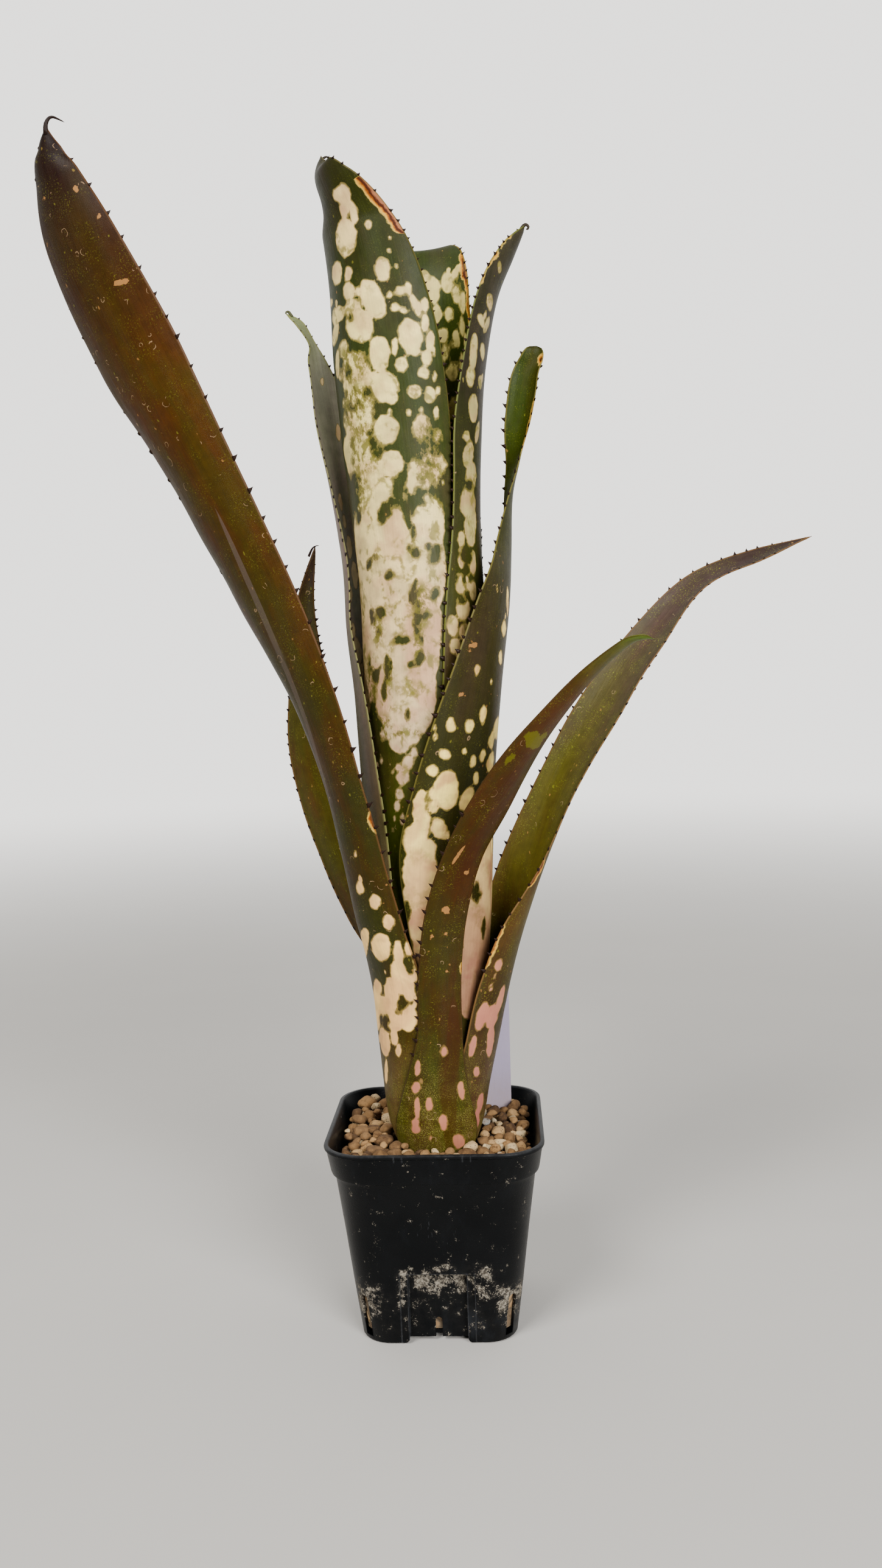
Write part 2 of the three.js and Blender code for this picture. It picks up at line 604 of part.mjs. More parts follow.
function makeLeaf(leaf) {
  const stations = stationsOf(leaf);
  const { columns } = leaf;
  const rows = rowPlaces(stations, leaf.sheath.length)
    .map((t) => bladeRow(stations, t, columns));
  const positions = [];
  const faces = [];
  const add = (vector) => positions.push(vector.toArray()) - 1;
  const sides = [-1, 1];

  // Both faces of every row, then the tip that they share
  const grid = sides.map((side) => rows.map((row) => row.map(
    ({ point, normal, half }) => add(point.clone().addScaledVector(normal, side * half)),
  )));
  const tip = add(new THREE.Vector3(...stations.at(-1)));
  const face = (side, a, b, c) => faces.push(side < 0 ? [a, b, c] : [a, c, b]);

  // Margin points of one strip between two rows, with a spine where there is room
  const marginStrip = (i, edge) => {
    const from = rows[i][edge];
    const to = rows[i + 1][edge];
    const length = from.point.distanceTo(to.point);
    const middle = from.point.clone().lerp(to.point, 0.5);
    const spineCount = middle.z > SPINE_START ? Math.round(length / SPINE_PITCH) : 0;
    const ids = sides.map((_, s) => [grid[s][i][edge]]);
    const tips = [];
    const between = (share) => sides.forEach((_, s) => {
      const a = new THREE.Vector3(...positions[grid[s][i][edge]]);
      const b = new THREE.Vector3(...positions[grid[s][i + 1][edge]]);
      ids[s].push(add(a.lerp(b, share)));
    });
    for (let k = 0; k < spineCount; k++) {
      const centre = (k + 0.5) / spineCount;
      between(centre - SPINE_BASE / 2 / length);
      between(centre + SPINE_BASE / 2 / length);
      const direction = to.point.clone().sub(from.point).normalize();
      const point = from.point.clone().lerp(to.point, centre)
        .addScaledVector(from.outwards.clone().lerp(to.outwards, centre), SPINE_LENGTH)
        .addScaledVector(direction, SPINE_LEAN);
      tips.push(add(point));
    }
    sides.forEach((_, s) => ids[s].push(grid[s][i + 1][edge]));
    return { ids, tips };
  };

  for (let i = 0; i + 1 < rows.length; i++) {
    const strips = [0, columns].map((edge) => marginStrip(i, edge));
    sides.forEach((side, s) => {
      const [low, high] = [grid[s][i], grid[s][i + 1]];
      for (let k = 1; k < columns - 1; k++) {
        face(side, low[k], low[k + 1], high[k + 1]);
        face(side, low[k], high[k + 1], high[k]);
      }
      strips.forEach(({ ids, tips }, end) => {
        const inner = end === 0 ? 1 : columns - 1;
        const turn = end === 0 ? -side : side;
        const line = ids[s];
        const half = Math.ceil((line.length - 1) / 2);
        for (let k = 0; k + 1 < line.length; k++) {
          const anchor = k < half ? low[inner] : high[inner];
          face(turn, anchor, line[k], line[k + 1]);
        }
        face(turn, low[inner], line[half], high[inner]);
        tips.forEach((spine, k) => face(turn, line[2 * k + 1], spine, line[2 * k + 2]));
      });
    });
    strips.forEach(({ ids, tips }, end) => {
      const turn = end === 0 ? 1 : -1;
      const [back, front] = ids;
      for (let k = 0; k + 1 < back.length; k++) {
        if (k % 2 === 1) {
          const spine = tips[(k - 1) / 2];
          face(turn, back[k], front[k], spine);
          face(turn, back[k + 1], spine, front[k + 1]);
        } else {
          face(turn, back[k], front[k], front[k + 1]);
          face(turn, back[k], front[k + 1], back[k + 1]);
        }
      }
    });
  }

  // Base edge and tip
  const [backBase, frontBase] = [grid[0][0], grid[1][0]];
  const [backEnd, frontEnd] = [grid[0].at(-1), grid[1].at(-1)];
  for (let k = 0; k < columns; k++) {
    face(1, backBase[k], backBase[k + 1], frontBase[k + 1]);
    face(1, backBase[k], frontBase[k + 1], frontBase[k]);
    face(1, frontEnd[k], frontEnd[k + 1], tip);
    face(-1, backEnd[k], backEnd[k + 1], tip);
  }
  face(1, backEnd[0], frontEnd[0], tip);
  face(-1, backEnd[columns], frontEnd[columns], tip);

  const geometry = indexedGeometry(positions, faces);
  geometry.computeVertexNormals();
  return meshOf(leaf.name, geometry, leaf.colour, 0.55);
}

const group = new THREE.Group();
group.add(makePot(), makeGravel(), makeStem(), makeLabel());
for (const leaf of LEAVES) group.add(makeLeaf(leaf));

export default group;
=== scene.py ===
import math

import bmesh
import bpy
import numpy as np
from mathutils import Matrix, Vector


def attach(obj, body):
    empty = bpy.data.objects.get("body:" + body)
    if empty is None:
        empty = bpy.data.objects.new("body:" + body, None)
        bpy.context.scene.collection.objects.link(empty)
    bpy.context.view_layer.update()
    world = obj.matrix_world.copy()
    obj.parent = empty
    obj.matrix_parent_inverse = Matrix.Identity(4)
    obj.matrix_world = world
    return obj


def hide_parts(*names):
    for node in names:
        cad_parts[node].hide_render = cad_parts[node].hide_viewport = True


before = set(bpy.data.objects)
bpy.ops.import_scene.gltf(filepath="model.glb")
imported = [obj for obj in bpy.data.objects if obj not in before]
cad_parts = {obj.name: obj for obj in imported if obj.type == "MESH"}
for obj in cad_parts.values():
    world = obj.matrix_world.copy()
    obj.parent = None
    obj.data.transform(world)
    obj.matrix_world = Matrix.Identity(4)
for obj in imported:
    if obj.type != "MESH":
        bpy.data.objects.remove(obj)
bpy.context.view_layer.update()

MM = 0.001
BODY = "root"

# Nest of sheaths, as in the CAD: the radius of the outermost layer at each height
NEST = [
    [60, 14.2], [66, 15.6], [75, 18.2], [85, 21.4], [100, 23.2], [120, 24.8], [145, 27.2],
    [170, 29.4], [200, 31], [230, 32.6], [265, 34.2], [300, 34.4], [335, 33.6],
]
LAYER_PITCH = 1.4

# Leaves, as in the CAD, apart from leaf_right, which is wider above its sheath. A sheath row is
# [height, azimuth of the keel, half turn of the wrap] and a blade row is
# [x, y, z, half width, half turn, azimuth that the leaf's back faces].
LEAVES = [
    dict(name="leaf_front", layer=0, sheath=[
        [66, -88, 62], [75, -88, 60], [85, -88, 52], [100, -87, 37],
    ], blade=[
        [3.6, -25.2, 123, 9.8, 26, -86], [4.6, -28.3, 150, 9, 24, -84], [8.3, -32, 176, 9, 26, -80],
        [16.4, -37, 200, 9.4, 28, -68], [29, -43, 220.2, 12.6, 32, -50],
        [45.5, -50, 244.5, 13.6, 34, -30], [64.6, -57, 268, 9.6, 34, -22],
        [78, -63.6, 280.6, 6.4, 30, -26], [84.3, -66.8, 283, 4.6, 28, -30],
        [87.8, -68.4, 282.6, 0, 20, -35],
    ]),
    dict(name="leaf_left", layer=1, sheath=[
        [68, -160, 68], [75, -160, 68], [85, -160, 68], [100, -157, 66], [120, -148, 54],
        [145, -141, 46],
    ], blade=[
        [-26, -20, 170, 20, 50, -145], [-31, -24, 197, 18.5, 50, -148],
        [-36, -28.5, 225, 17, 46, -146], [-46, -33, 262, 17, 42, -134],
        [-60.6, -39, 300, 18, 38, -120], [-80, -46, 345, 18.5, 34, -112],
        [-102.6, -53, 392, 21.3, 30, -106], [-119, -59, 431, 18, 28, -106],
        [-126, -62, 456, 10.8, 34, -106], [-127, -62.8, 466, 5.4, 38, -106],
        [-126.8, -63, 471.8, 1.2, 40, -106], [-126.4, -63, 474, 0, 20, -106],
    ]),
    dict(name="leaf_right", layer=1, sheath=[
        [71, -9, 72], [75, -9, 72], [85, -9, 71],
    ], blade=[
        [22.8, -3, 100, 24, 65, -9], [27.3, -3, 120, 23, 64, -7], [33, -3, 145, 23.2, 71, 0],
        [39, -1, 168, 22.2, 72, 12], [46.5, 4, 196, 16.6, 55, 38], [59, 9, 226, 14, 38, 46],
        [74, 14, 252, 14, 32, 52], [93, 19, 280, 11.5, 28, 56], [116.5, 25, 307, 7, 28, 60],
        [144, 32, 319, 5, 34, 62], [170, 40, 328, 0, 20, 62],
    ]),
    dict(name="leaf_back_left", layer=2, sheath=[
        [74, 150, 85], [85, 150, 84], [100, 145, 60], [120, 137, 27],
    ], blade=[
        [-20, 19.5, 145, 9.5, 28, 140], [-32, 26, 165, 12.5, 38, 142],
        [-42.5, 33, 188, 13, 40, 138], [-51, 38, 215, 13, 34, 135], [-55.5, 42, 242, 12.5, 30, 130],
        [-55.5, 44, 272, 9.5, 30, 128], [-55.5, 45, 303, 5, 34, 128], [-49.4, 46, 332, 0, 20, 125],
    ]),
    dict(name="leaf_front_right", layer=3, sheath=[
        [77, -22, 80], [85, -22, 80], [100, -22, 80], [120, -22, 80], [145, -22, 78],
        [170, -22, 86], [200, -22, 91], [230, -18, 78],
    ], blade=[
        [31.6, -6.5, 265, 33.5, 62, -14], [36.2, -3, 300, 27.5, 46, -9],
        [37.6, 0, 322, 17.5, 38, -8], [38.6, 1.5, 344, 8.5, 30, 3], [40.8, 3, 358, 6, 40, 28],
        [43, 3.5, 373, 7, 48, 60], [45.6, 2.5, 390, 7, 48, 80], [48.6, 1.6, 399, 5.6, 40, 90],
        [49.9, 1.1, 403.4, 3.8, 34, 90], [50.2, 1, 404.7, 0, 30, 90],
    ]),
    dict(name="leaf_inner_left", layer=4, sheath=[
        [80, 155, 80], [85, 155, 80], [100, 155, 80], [120, 155, 80], [145, 155, 80],
        [170, 155, 80], [200, 154, 80], [230, 152, 76], [265, 150, 66],
    ], blade=[
        [-29, 16.5, 300, 24, 54, 150], [-32.5, 14.5, 330, 17, 50, 152],
        [-35.6, 12.5, 358, 12.5, 50, 142], [-38.8, 12, 385, 10, 50, 128],
        [-41.5, 11, 402, 5.5, 45, 122], [-43, 10.5, 411, 2, 35, 118], [-48, 9, 419, 2.6, 45, 118],
        [-53, 8, 424, 0, 25, 118],
    ]),
    dict(name="leaf_inner_back", layer=5, sheath=[
        [84, 50, 80], [100, 50, 80], [120, 50, 80], [145, 50, 80], [170, 50, 80], [200, 50, 78],
        [230, 50, 70], [265, 50, 58],
    ], blade=[
        [16.5, 22.5, 300, 17, 40, 52], [17.5, 27, 330, 12.5, 36, 55], [18.5, 32, 352, 8, 34, 56],
        [19.5, 37, 372, 0, 20, 56],
    ]),
    dict(name="leaf_tube_right", layer=6, level=13, sheath=[
        [88, 5, 85], [100, 5, 85], [120, 5, 85], [145, 5, 85], [170, 5, 85], [200, 5, 82],
        [230, 5, 80], [265, 4, 74], [300, 4, 69], [335, 4, 58],
    ], blade=[
        [26.5, 2, 368, 25, 56, 2], [29, 2.5, 397, 21, 50, 0], [34.4, 2.5, 424, 16.5, 50, -3],
        [41.5, 1.5, 441, 10, 46, -8], [45, 0.2, 448.4, 4.4, 46, -10],
        [46.2, -0.6, 451, 1.4, 40, -10], [46.8, -1, 452, 0, 25, -10],
    ]),
    dict(name="leaf_tube_front", layer=7, level=14, sheath=[
        [92, -125, 85], [100, -125, 85], [120, -125, 85], [145, -125, 85], [170, -125, 85],
        [200, -126, 85], [230, -127, 85], [265, -128, 85], [300, -128, 84],
    ], blade=[
        [-17.8, -18.8, 335, 35.4, 83, -128], [-19.4, -21.4, 368, 37.2, 82, -126],
        [-22.4, -22.2, 400, 37, 74, -131], [-26, -19, 430, 33.5, 69, -138],
        [-29.8, -16, 450, 28.5, 58, -144], [-33.5, -13.5, 462, 19.3, 45, -149],
        [-36, -11, 471, 12, 32, -152], [-34, -9.5, 479.5, 0, 20, -155],
    ]),
    dict(name="leaf_tube_back", layer=8, level=13, sheath=[
        [96, 78, 80], [100, 78, 80], [120, 78, 80], [145, 78, 80], [170, 78, 80], [200, 78, 80],
        [230, 78, 80], [265, 78, 80], [300, 78, 80], [335, 78, 80],
    ], blade=[
        [3.5, 24, 368, 31, 74, 80], [3, 27, 400, 29.6, 64, 83], [2, 30, 428, 26, 56, 86],
        [1.5, 33.5, 445, 21.4, 36, 87], [1, 38, 454.5, 17.4, 18, 88], [1, 42.5, 457, 11, 12, 88],
        [1, 50, 455.5, 0, 10, 88],
    ]),
]

# Markings in each leaf's own plane: (across, along, half width, half length, tilt in degrees),
# in mm. `green` lies in the cream, `moss` mottles it, and the other names say what a place is.
SPOTS = {
    "leaf_tube_front": dict(cream=[
        (12.3, 459, 4.4, 2.3, 3), (11.3, 456, 4.6, 2.3, -40), (6.7, 445, 5.3, 7.9, 23),
        (13.5, 453, 1.8, 3.8, 13), (-3.3, 433, 4, 4.9, 24), (3.9, 431, 2.2, 3, 16),
        (19.1, 430, 3.1, 4.8, 17), (12.9, 419, 4.8, 8.2, -13), (7.5, 423, 1.5, 1.6, 18),
        (2.3, 424, 3.5, 3.8, 11), (4.8, 410, 6.6, 7.2, -22), (3, 417, 4.7, 3.6, 13),
        (-7.7, 417, 6.5, 3.4, 1), (-12.1, 410, 5.7, 3.1, -32), (21.4, 415, 2, 1.7, -23),
        (24.5, 421, 2.3, 2, -44), (27.3, 422, 1.3, 2.6, 14), (28.4, 417, 1.6, 3.1, -2),
        (24.5, 414, 2, 1.2, -5), (29.9, 414, 1.4, 2.9, 14), (32.7, 416, 1.5, 3.3, 14),
        (19.9, 420, 0.9, 1.3, 16), (25.2, 404, 4.8, 6.6, 11), (25.4, 398, 2.9, 1.7, -6),
        (18.5, 400, 1.2, 3.5, 10), (19.9, 393, 2.4, 2.9, 27), (11.8, 398, 4.2, 7, 12),
        (11.9, 385, 5.3, 6.1, 23), (7.5, 389, 4.2, 2.6, 5), (13.7, 381, 2.6, 2.9, 44),
        (-7.5, 392, 5.1, 2.5, 11), (1.9, 398, 3.6, 3.1, 7), (-5.5, 402, 3.7, 4.4, 15),
        (-12.4, 398, 2.8, 5.4, 21), (23.1, 383, 2.9, 2.5, -34), (29.3, 382, 2.2, 3, 23),
        (32.4, 389, 0.9, 1.9, 12), (33.1, 384, 1, 1.6, 17), (31.5, 409, 1.5, 3.8, 12),
        (32.6, 402, 1.8, 4.5, 17), (30.4, 396, 2.2, 3.2, 21), (28, 390, 2.5, 2, -23),
        (33.4, 398, 0.8, 2.6, 11), (9.9, 369, 5.3, 5.9, 33), (-3.1, 371, 5.2, 5.1, -15),
        (-9.3, 376, 3.1, 5.3, 16), (-11.1, 364, 6.9, 5.3, 1), (11, 356, 5.1, 5.3, 17),
        (4.9, 362, 2.1, 2.1, 7), (24.2, 369, 3.8, 5.3, 15), (25.8, 361, 2.6, 6, 6),
        (29.7, 365, 2.2, 4.2, 9), (20, 353, 2.7, 4.6, 6), (19.2, 348, 2.7, 4, 7),
        (30.4, 355, 3.5, 5, 12), (31.1, 375, 1, 3, 9), (19.9, 375, 1, 1.3, 16),
        (12.5, 376, 0.7, 0.9, 17), (24.9, 376, 0.7, 0.9, 25), (18, 448, 1.2, 1.7, 29),
        (24.7, 442, 0.5, 0.7, 33), (23.3, 437, 0.7, 0.8, 34), (24.6, 431, 0.6, 0.9, 20),
        (-13.9, 424, 2.8, 1.6, 10), (9.2, 238, 2.2, 3, 10), (6.2, 232, 2.7, 3.3, 15),
        (4.5, 225, 1.9, 2.5, 13), (2.7, 220, 1.3, 2.4, 8), (4.9, 215, 1.3, 2.7, 7),
        (12.1, 242, 1.5, 2, 10), (4.7, 342, 11.6, 9.7, 4), (-4.1, 325, 12.1, 20.2, 14),
        (10.1, 320, 10.4, 19.9, 9), (24.2, 332, 6.5, 11.8, 9), (22, 315, 7.3, 20, 7),
        (-3.6, 296, 8.7, 21.1, 5), (8.4, 291, 10.5, 24.1, 2), (19.3, 291, 6.1, 24, 2),
        (3, 263, 7.6, 16.3, 5), (12, 263, 8.3, 17.8, 4), (18.7, 266, 3.7, 13.7, 3),
        (6.4, 248, 5.4, 6.6, 14), (-1.2, 392, 8.7, 9.6, 16), (-3.1, 376, 9.6, 10.5, 16),
        (-5.5, 362, 10.2, 10.6, 24), (1.2, 355, 7, 7, -19), (24.8, 353, 5.6, 7.1, 13),
        (-12, 297, 7, 22, 5), (-11, 272, 5.5, 14, 5), (-6.5, 262, 4.5, 10, 5),
        (-1.5, 253, 4, 6.5, 14), (4.6, 236, 1.8, 1.6, -34), (-4, 239, 1.1, 1.7, 13),
        (1.7, 234, 0.5, 1, 8), (0.6, 237, 0.5, 0.8, 11), (1.1, 215, 0.6, 1.3, 8),
        (-0.5, 210, 0.7, 1, 13),
    ], green=[
        (1.2, 414, 1.3, 1.6, 10), (24.8, 418, 1.2, 1.5, 28), (26.2, 415, 0.5, 0.9, 15),
        (13.1, 346, 2.2, 5.3, 4), (11.9, 341, 2.6, 2.5, -10), (15.9, 336, 1.5, 5.1, -7),
        (17.7, 329, 0.7, 3.4, 7), (21.4, 343, 1.5, 3.6, -22), (7.1, 338, 2.5, 3.3, 36),
        (5.3, 335, 1.5, 1.8, 10), (-9.6, 347, 2.8, 7.6, 1), (-7.7, 337, 1.7, 2.7, 16),
        (35.4, 348, 2.6, 12, 13), (24.9, 320, 2.4, 4.3, 20), (23.1, 323, 1.5, 1.2, -15),
        (17.8, 321, 1.4, 1.7, 22), (15.4, 323, 0.7, 1.1, 10), (0.6, 320, 1.5, 1.3, -18),
        (-3.6, 318, 1.3, 3, 45), (6, 313, 1.8, 1.6, -16), (15.6, 306, 0.8, 4.7, 13),
        (24, 305, 1.4, 2.4, 8), (15, 306, 1, 4.7, 20), (16.2, 300, 1.3, 1.4, -23),
        (18.1, 296, 1.9, 0.7, 1), (15.7, 292, 1.2, 4.5, 2), (16.9, 285, 0.8, 4.5, 1),
        (16.4, 279, 1.5, 2.4, 21), (13.3, 277, 1.3, 1.1, 3), (-5.4, 297, 1.7, 3.1, 7),
        (0.6, 298, 2.4, 1.8, 1), (8.5, 287, 3.5, 1.8, 2), (2.4, 277, 1, 4.4, 2),
        (0.6, 267, 1.1, 4.4, 4), (10.7, 257, 0.8, 2.6, 5), (-7.1, 250, 4, 12.4, -3),
    ], moss=[
        (-1.9, 396, 11, 10.5, 2), (-2.5, 379, 12, 12.3, 35), (-1.2, 362, 11.3, 11.4, -6),
        (26.4, 360, 8.6, 15, 8), (29.3, 346, 6.1, 11.6, 7), (-8.4, 347, 9.7, 11.7, 22),
        (-2.4, 293, 6.2, 9.7, 4), (3, 273, 4, 9.7, 2), (15.7, 287, 3.2, 11.2, 1),
        (8, 250, 9, 4, -1), (-8, 270, 7, 14, 5), (-1, 252, 7, 8, 10), (18, 300, 6, 12, 5),
    ], rose=[
        (19, 285, 9, 26, 0), (26, 362, 6, 16, 0), (-4, 265, 8, 14, 0), (10, 330, 5, 12, 0),
    ]),
    "leaf_tube_back": dict(cream=[
        (-2, 441, 3.4, 7, 2), (-5.8, 438, 3.4, 6.4, 4), (-12.9, 440, 3.2, 4.6, 8),
        (-16.5, 442, 2.2, 2.8, -10), (-19.9, 444, 3.4, 1.7, -20), (-17.6, 434, 2.6, 4.4, 8),
        (-21.3, 429, 2.4, 5.4, 4), (-13.3, 426, 2.4, 3.2, 0), (-7.2, 427, 2.6, 4.2, -2),
        (-9.4, 417.5, 3, 3, -37), (-16.3, 414, 2.3, 4.8, -2), (-20.4, 420, 2, 4.8, 4),
        (-10.3, 409.5, 2.4, 4, -1), (-22.6, 411, 1.6, 5, 4), (-13.3, 401, 3.2, 4, 24),
        (-19, 404, 1.8, 4.4, -2), (-14.6, 385, 4.3, 5.6, 24),
    ], green=[
        (-17.4, 439, 1.9, 1.4, -35), (-11.6, 392, 1, 2.9, -1),
    ], moss=[
        (-18.5, 437, 4.4, 6.1, 29), (-17.5, 424, 5.6, 5.8, -24), (-13.9, 408, 6, 8, 16),
    ]),
    "leaf_tube_right": dict(cream=[
        (-7.4, 436, 1.2, 2.4, -36), (-8.4, 422, 2.4, 3.3, -32), (-12.4, 414, 3.3, 2, 44),
        (-8.2, 413, 1.9, 3.5, 27), (-10.6, 416, 1.3, 1.9, 14), (-15.4, 401, 2.3, 7.2, 0),
        (-8.8, 402, 2.1, 3.4, -18), (-16.5, 391, 2.6, 4.5, -1), (-13.6, 379, 3.6, 5.6, 2),
        (-8.5, 390, 1.9, 2.7, -8), (-18.4, 367, 2, 2.2, 36), (-16.8, 360, 3.2, 5.7, 19),
        (-14.7, 352, 4.2, 5.5, 9), (-16.8, 341, 5, 6.9, 9), (-15.5, 333, 4.4, 6.5, 12),
        (-10, 370, 1.8, 5, 21), (-21.9, 326, 1.7, 3.6, 7), (-16, 327, 3.2, 3.9, 33),
        (-22.9, 319, 1.7, 4.6, 6), (-15.7, 317, 2.4, 5.6, 9), (-23.6, 309, 3.1, 3.7, 19),
        (-16.8, 306, 2.3, 4.6, 8), (-23.7, 308, 2.9, 3.7, 15), (-19, 309, 2.5, 3.3, 17),
        (-23.1, 299, 3.7, 4.9, 8), (-28.4, 292, 2.6, 4, 3), (-22.6, 290, 3.4, 3.2, -27),
        (-27.7, 284, 2.5, 3.2, 3), (-26.2, 281, 1, 2.4, 1),
    ], green=[
        (-16.7, 348, 2.5, 2, -15), (-19.5, 320, 2.8, 3.8, -10), (-26.2, 311, 1.6, 1.4, -28),
        (-17.8, 311, 1.9, 1.6, -24), (-23.8, 302, 2.3, 1.4, -4), (-21.8, 310, 1.1, 1.5, 15),
    ]),
    "leaf_inner_left": dict(cream=[
        (-1.3, 398, 0.7, 1.6, -16), (-4.8, 377, 1.1, 3.9, -2), (-0.7, 348, 1.4, 3.8, -1),
        (-1.5, 340, 1.4, 2.9, -1), (-2.3, 329, 2.1, 4.9, -5), (-3, 317, 2.4, 5.8, -7),
        (6.5, 310, 5.6, 5.2, 16), (6.1, 293, 2.4, 4, -35), (6.7, 283, 5.2, 8.3, -23),
        (3.6, 275, 2, 4.6, -20), (4.9, 267, 4.1, 6.3, -24), (4.6, 256, 5, 7.9, -13),
        (3.5, 241, 6.4, 10.5, 6), (2.4, 226, 5.5, 9.6, -9), (5.8, 315, 4, 2.4, 19),
    ], green=[
        (26.7, 271, 3.9, 5.6, 7), (29, 262, 2, 2.8, 37),
    ]),
    "leaf_front_right": dict(cream=[
        (-28.6, 251, 2, 2.6, -36), (-28.8, 250, 1.4, 0.8, 6), (-20.3, 251, 2.2, 3, -18),
        (-14.1, 256, 2.2, 3.3, -17), (-21.8, 272, 1.5, 2.3, -8), (-12.1, 269, 0.8, 1.2, -25),
        (-6.3, 279, 2.2, 3.2, -43), (-7, 291, 3.8, 2.8, 36), (-6.4, 302, 1.7, 6.5, -26),
        (-18.1, 305, 0.4, 1.8, -13), (-28.6, 241, 2.8, 1.8, 29), (-20.4, 242, 0.9, 1.6, -20),
        (-10, 240, 1.8, 2.7, -11), (-15.1, 238, 1.6, 2.3, -8), (-12.2, 231, 1.7, 2.7, -19),
        (-32.3, 235, 2.7, 2.2, 18), (-25.5, 227, 5.2, 8.3, -11), (-30.9, 226, 2.2, 2.9, -22),
        (-30.2, 221, 1.8, 3, -11), (-27.2, 212, 3, 4.5, -17), (-23.9, 209, 1.3, 1.5, -30),
        (-16, 223, 3.2, 5.1, 22), (-4.3, 246, 2.8, 3.6, -1), (1.2, 251, 5.6, 4.7, 2),
        (-2.5, 237, 3.8, 4.2, 34), (-34, 247, 0.8, 1.2, -28), (-34.8, 250, 0.7, 1.4, -18),
        (-35.7, 221, 2.6, 7.1, 1), (-33.1, 215, 2.6, 4.3, -9), (-36, 207, 5.1, 7.5, -8),
        (-30.5, 203, 3.1, 5.1, -7), (-33.7, 194, 7.2, 10.8, -4), (-35.3, 181, 6.2, 10.9, -1),
        (-34.2, 182, 5.8, 16.7, -1), (-30.8, 164, 4.9, 11.1, -5), (-7, 195, 6.1, 9.4, -10),
        (-8.8, 170, 7.2, 13.8, -8), (-9.3, 152, 6.8, 12.4, -12), (-9.6, 139, 5.4, 8.2, -19),
        (-1.5, 204, 4, 13, 0), (-1, 178, 9, 26, 0), (-1.5, 150, 8, 16, 0), (4.5, 176, 4, 30, 0),
    ], scar=[
        (-26.2, 281, 2, 0.8, -8), (-26.2, 262, 2, 0.7, -5), (-27.5, 279, 0.8, 0.5, -5),
        (-28.2, 260, 0.6, 0.5, 29),
    ], dead=[
        (-4.4, 403.4, 0.5, 0.4, 0),
    ], green=[
        (-8.1, 184, 1.6, 4.4, -3), (-8.7, 183, 3.5, 2, 13), (-2.5, 168, 1.5, 4.4, 2),
        (-38.8, 178, 1.4, 4.2, -1), (-33.1, 224, 0.6, 1.2, -10),
    ], dim=[
        (-8, 150, 17, 74, 0),
    ], rose=[
        (-38, 222, 5, 16, 0), (-35, 190, 6, 14, 0), (-8, 150, 14, 30, 0),
    ]),
    "leaf_left": dict(cream=[
        (4.4, 191, 2.2, 3.3, 29), (10.7, 185, 2.6, 3.5, 28), (14.6, 176, 2.5, 3.6, 10),
        (7.1, 165, 4.7, 7.3, 40), (-5.7, 165, 11.3, 3.5, -42), (6.7, 206, 0.7, 1.7, 20),
        (14.6, 162, 2.3, 5.3, 19), (11.6, 152, 4, 7.9, 13), (14.8, 147, 2.6, 6.3, 12),
        (19.3, 163, 1.5, 3, 14), (5.6, 144, 4, 7.9, 15), (-4.2, 145, 5.2, 3.5, -44),
        (-0.7, 136, 5.2, 7, 33), (-7.8, 135, 6.7, 10.7, 17), (7.1, 134, 5.4, 6.4, 25),
        (13.4, 135, 4.1, 6.1, 3), (-0.7, 122, 5, 6.7, -7), (6.5, 126, 2.2, 4.2, -7),
        (9.2, 120, 1.5, 2.9, 3), (18.8, 155, 1, 4.7, 9), (16.7, 142, 1, 3.5, 4),
        (0.4, 108, 1.8, 5.9, 7),
    ], scar=[
        (17.4, 192, 0.4, 0.7, 16), (11.4, 436, 3.2, 0.9, 12), (8.5, 473, 0.7, 1.2, -20),
        (13.6, 461, 0.6, 1.2, 20), (-14.2, 461, 0.6, 1.4, 0), (-6.6, 475, 0.8, 0.8, 0),
    ], green=[
        (11.2, 140, 2.6, 1.3, -31), (8.8, 137, 1.7, 1, -13), (1.1, 131, 2.1, 3.2, 13),
        (18, 157, 0.7, 3.1, 6), (-2.8, 131, 1.2, 2.5, 11),
    ], rose=[
        (8, 140, 9, 12, 0), (18, 158, 5, 8, 0), (2, 122, 8, 8, 0), (-4, 150, 5, 7, 0),
    ], painted_sheen=[
        # A painted sheen: a pale stripe that stands for a reflection along the fold
        (-0.6, 288, 1.7, 62, 3),
    ]),
    "leaf_front": dict(cream=[
        (1.7, 121, 1.4, 2.4, -6), (-8.5, 113, 1.2, 3.5, 0), (-8.5, 105, 1.8, 2.7, 11),
        (-7.7, 96, 1.2, 5.2, 0), (-8.5, 88, 1.9, 3.8, -3), (-2.9, 98, 1.6, 3.1, -1),
        (3, 90, 1.8, 3.6, -5), (10.5, 103, 1.5, 4.3, -11), (-2.3, 83, 0.7, 1.4, 3),
        (9.5, 80, 2.8, 4, -12),
    ], pale=[
        (-5.5, 260, 6.5, 3.4, 20), (-10.2, 250, 1.6, 2.2, 0), (-1.5, 263, 2.5, 1.8, 0),
    ], brown=[
        (-4.5, 253, 5.5, 2.6, 20), (-2.5, 240, 4.5, 9, 6), (1.5, 214, 3.4, 24, 3),
        (5.5, 108, 3.4, 36, 0),
    ], scar=[
        (-4, 205, 0.6, 5.1, 8), (-5.1, 169, 1, 1.4, -7), (2.5, 198, 1.4, 0.9, 9),
        (0, 171, 1.5, 0.7, -2), (-1.1, 181, 1.3, 1.6, -26), (2.5, 155, 0.7, 0.7, -39),
    ]),
    "leaf_right": dict(cream=[
        (-17.5, 153, 2, 2.5, -31), (-17.7, 148, 0.9, 1.5, -31), (-17.8, 145, 0.4, 0.7, -31),
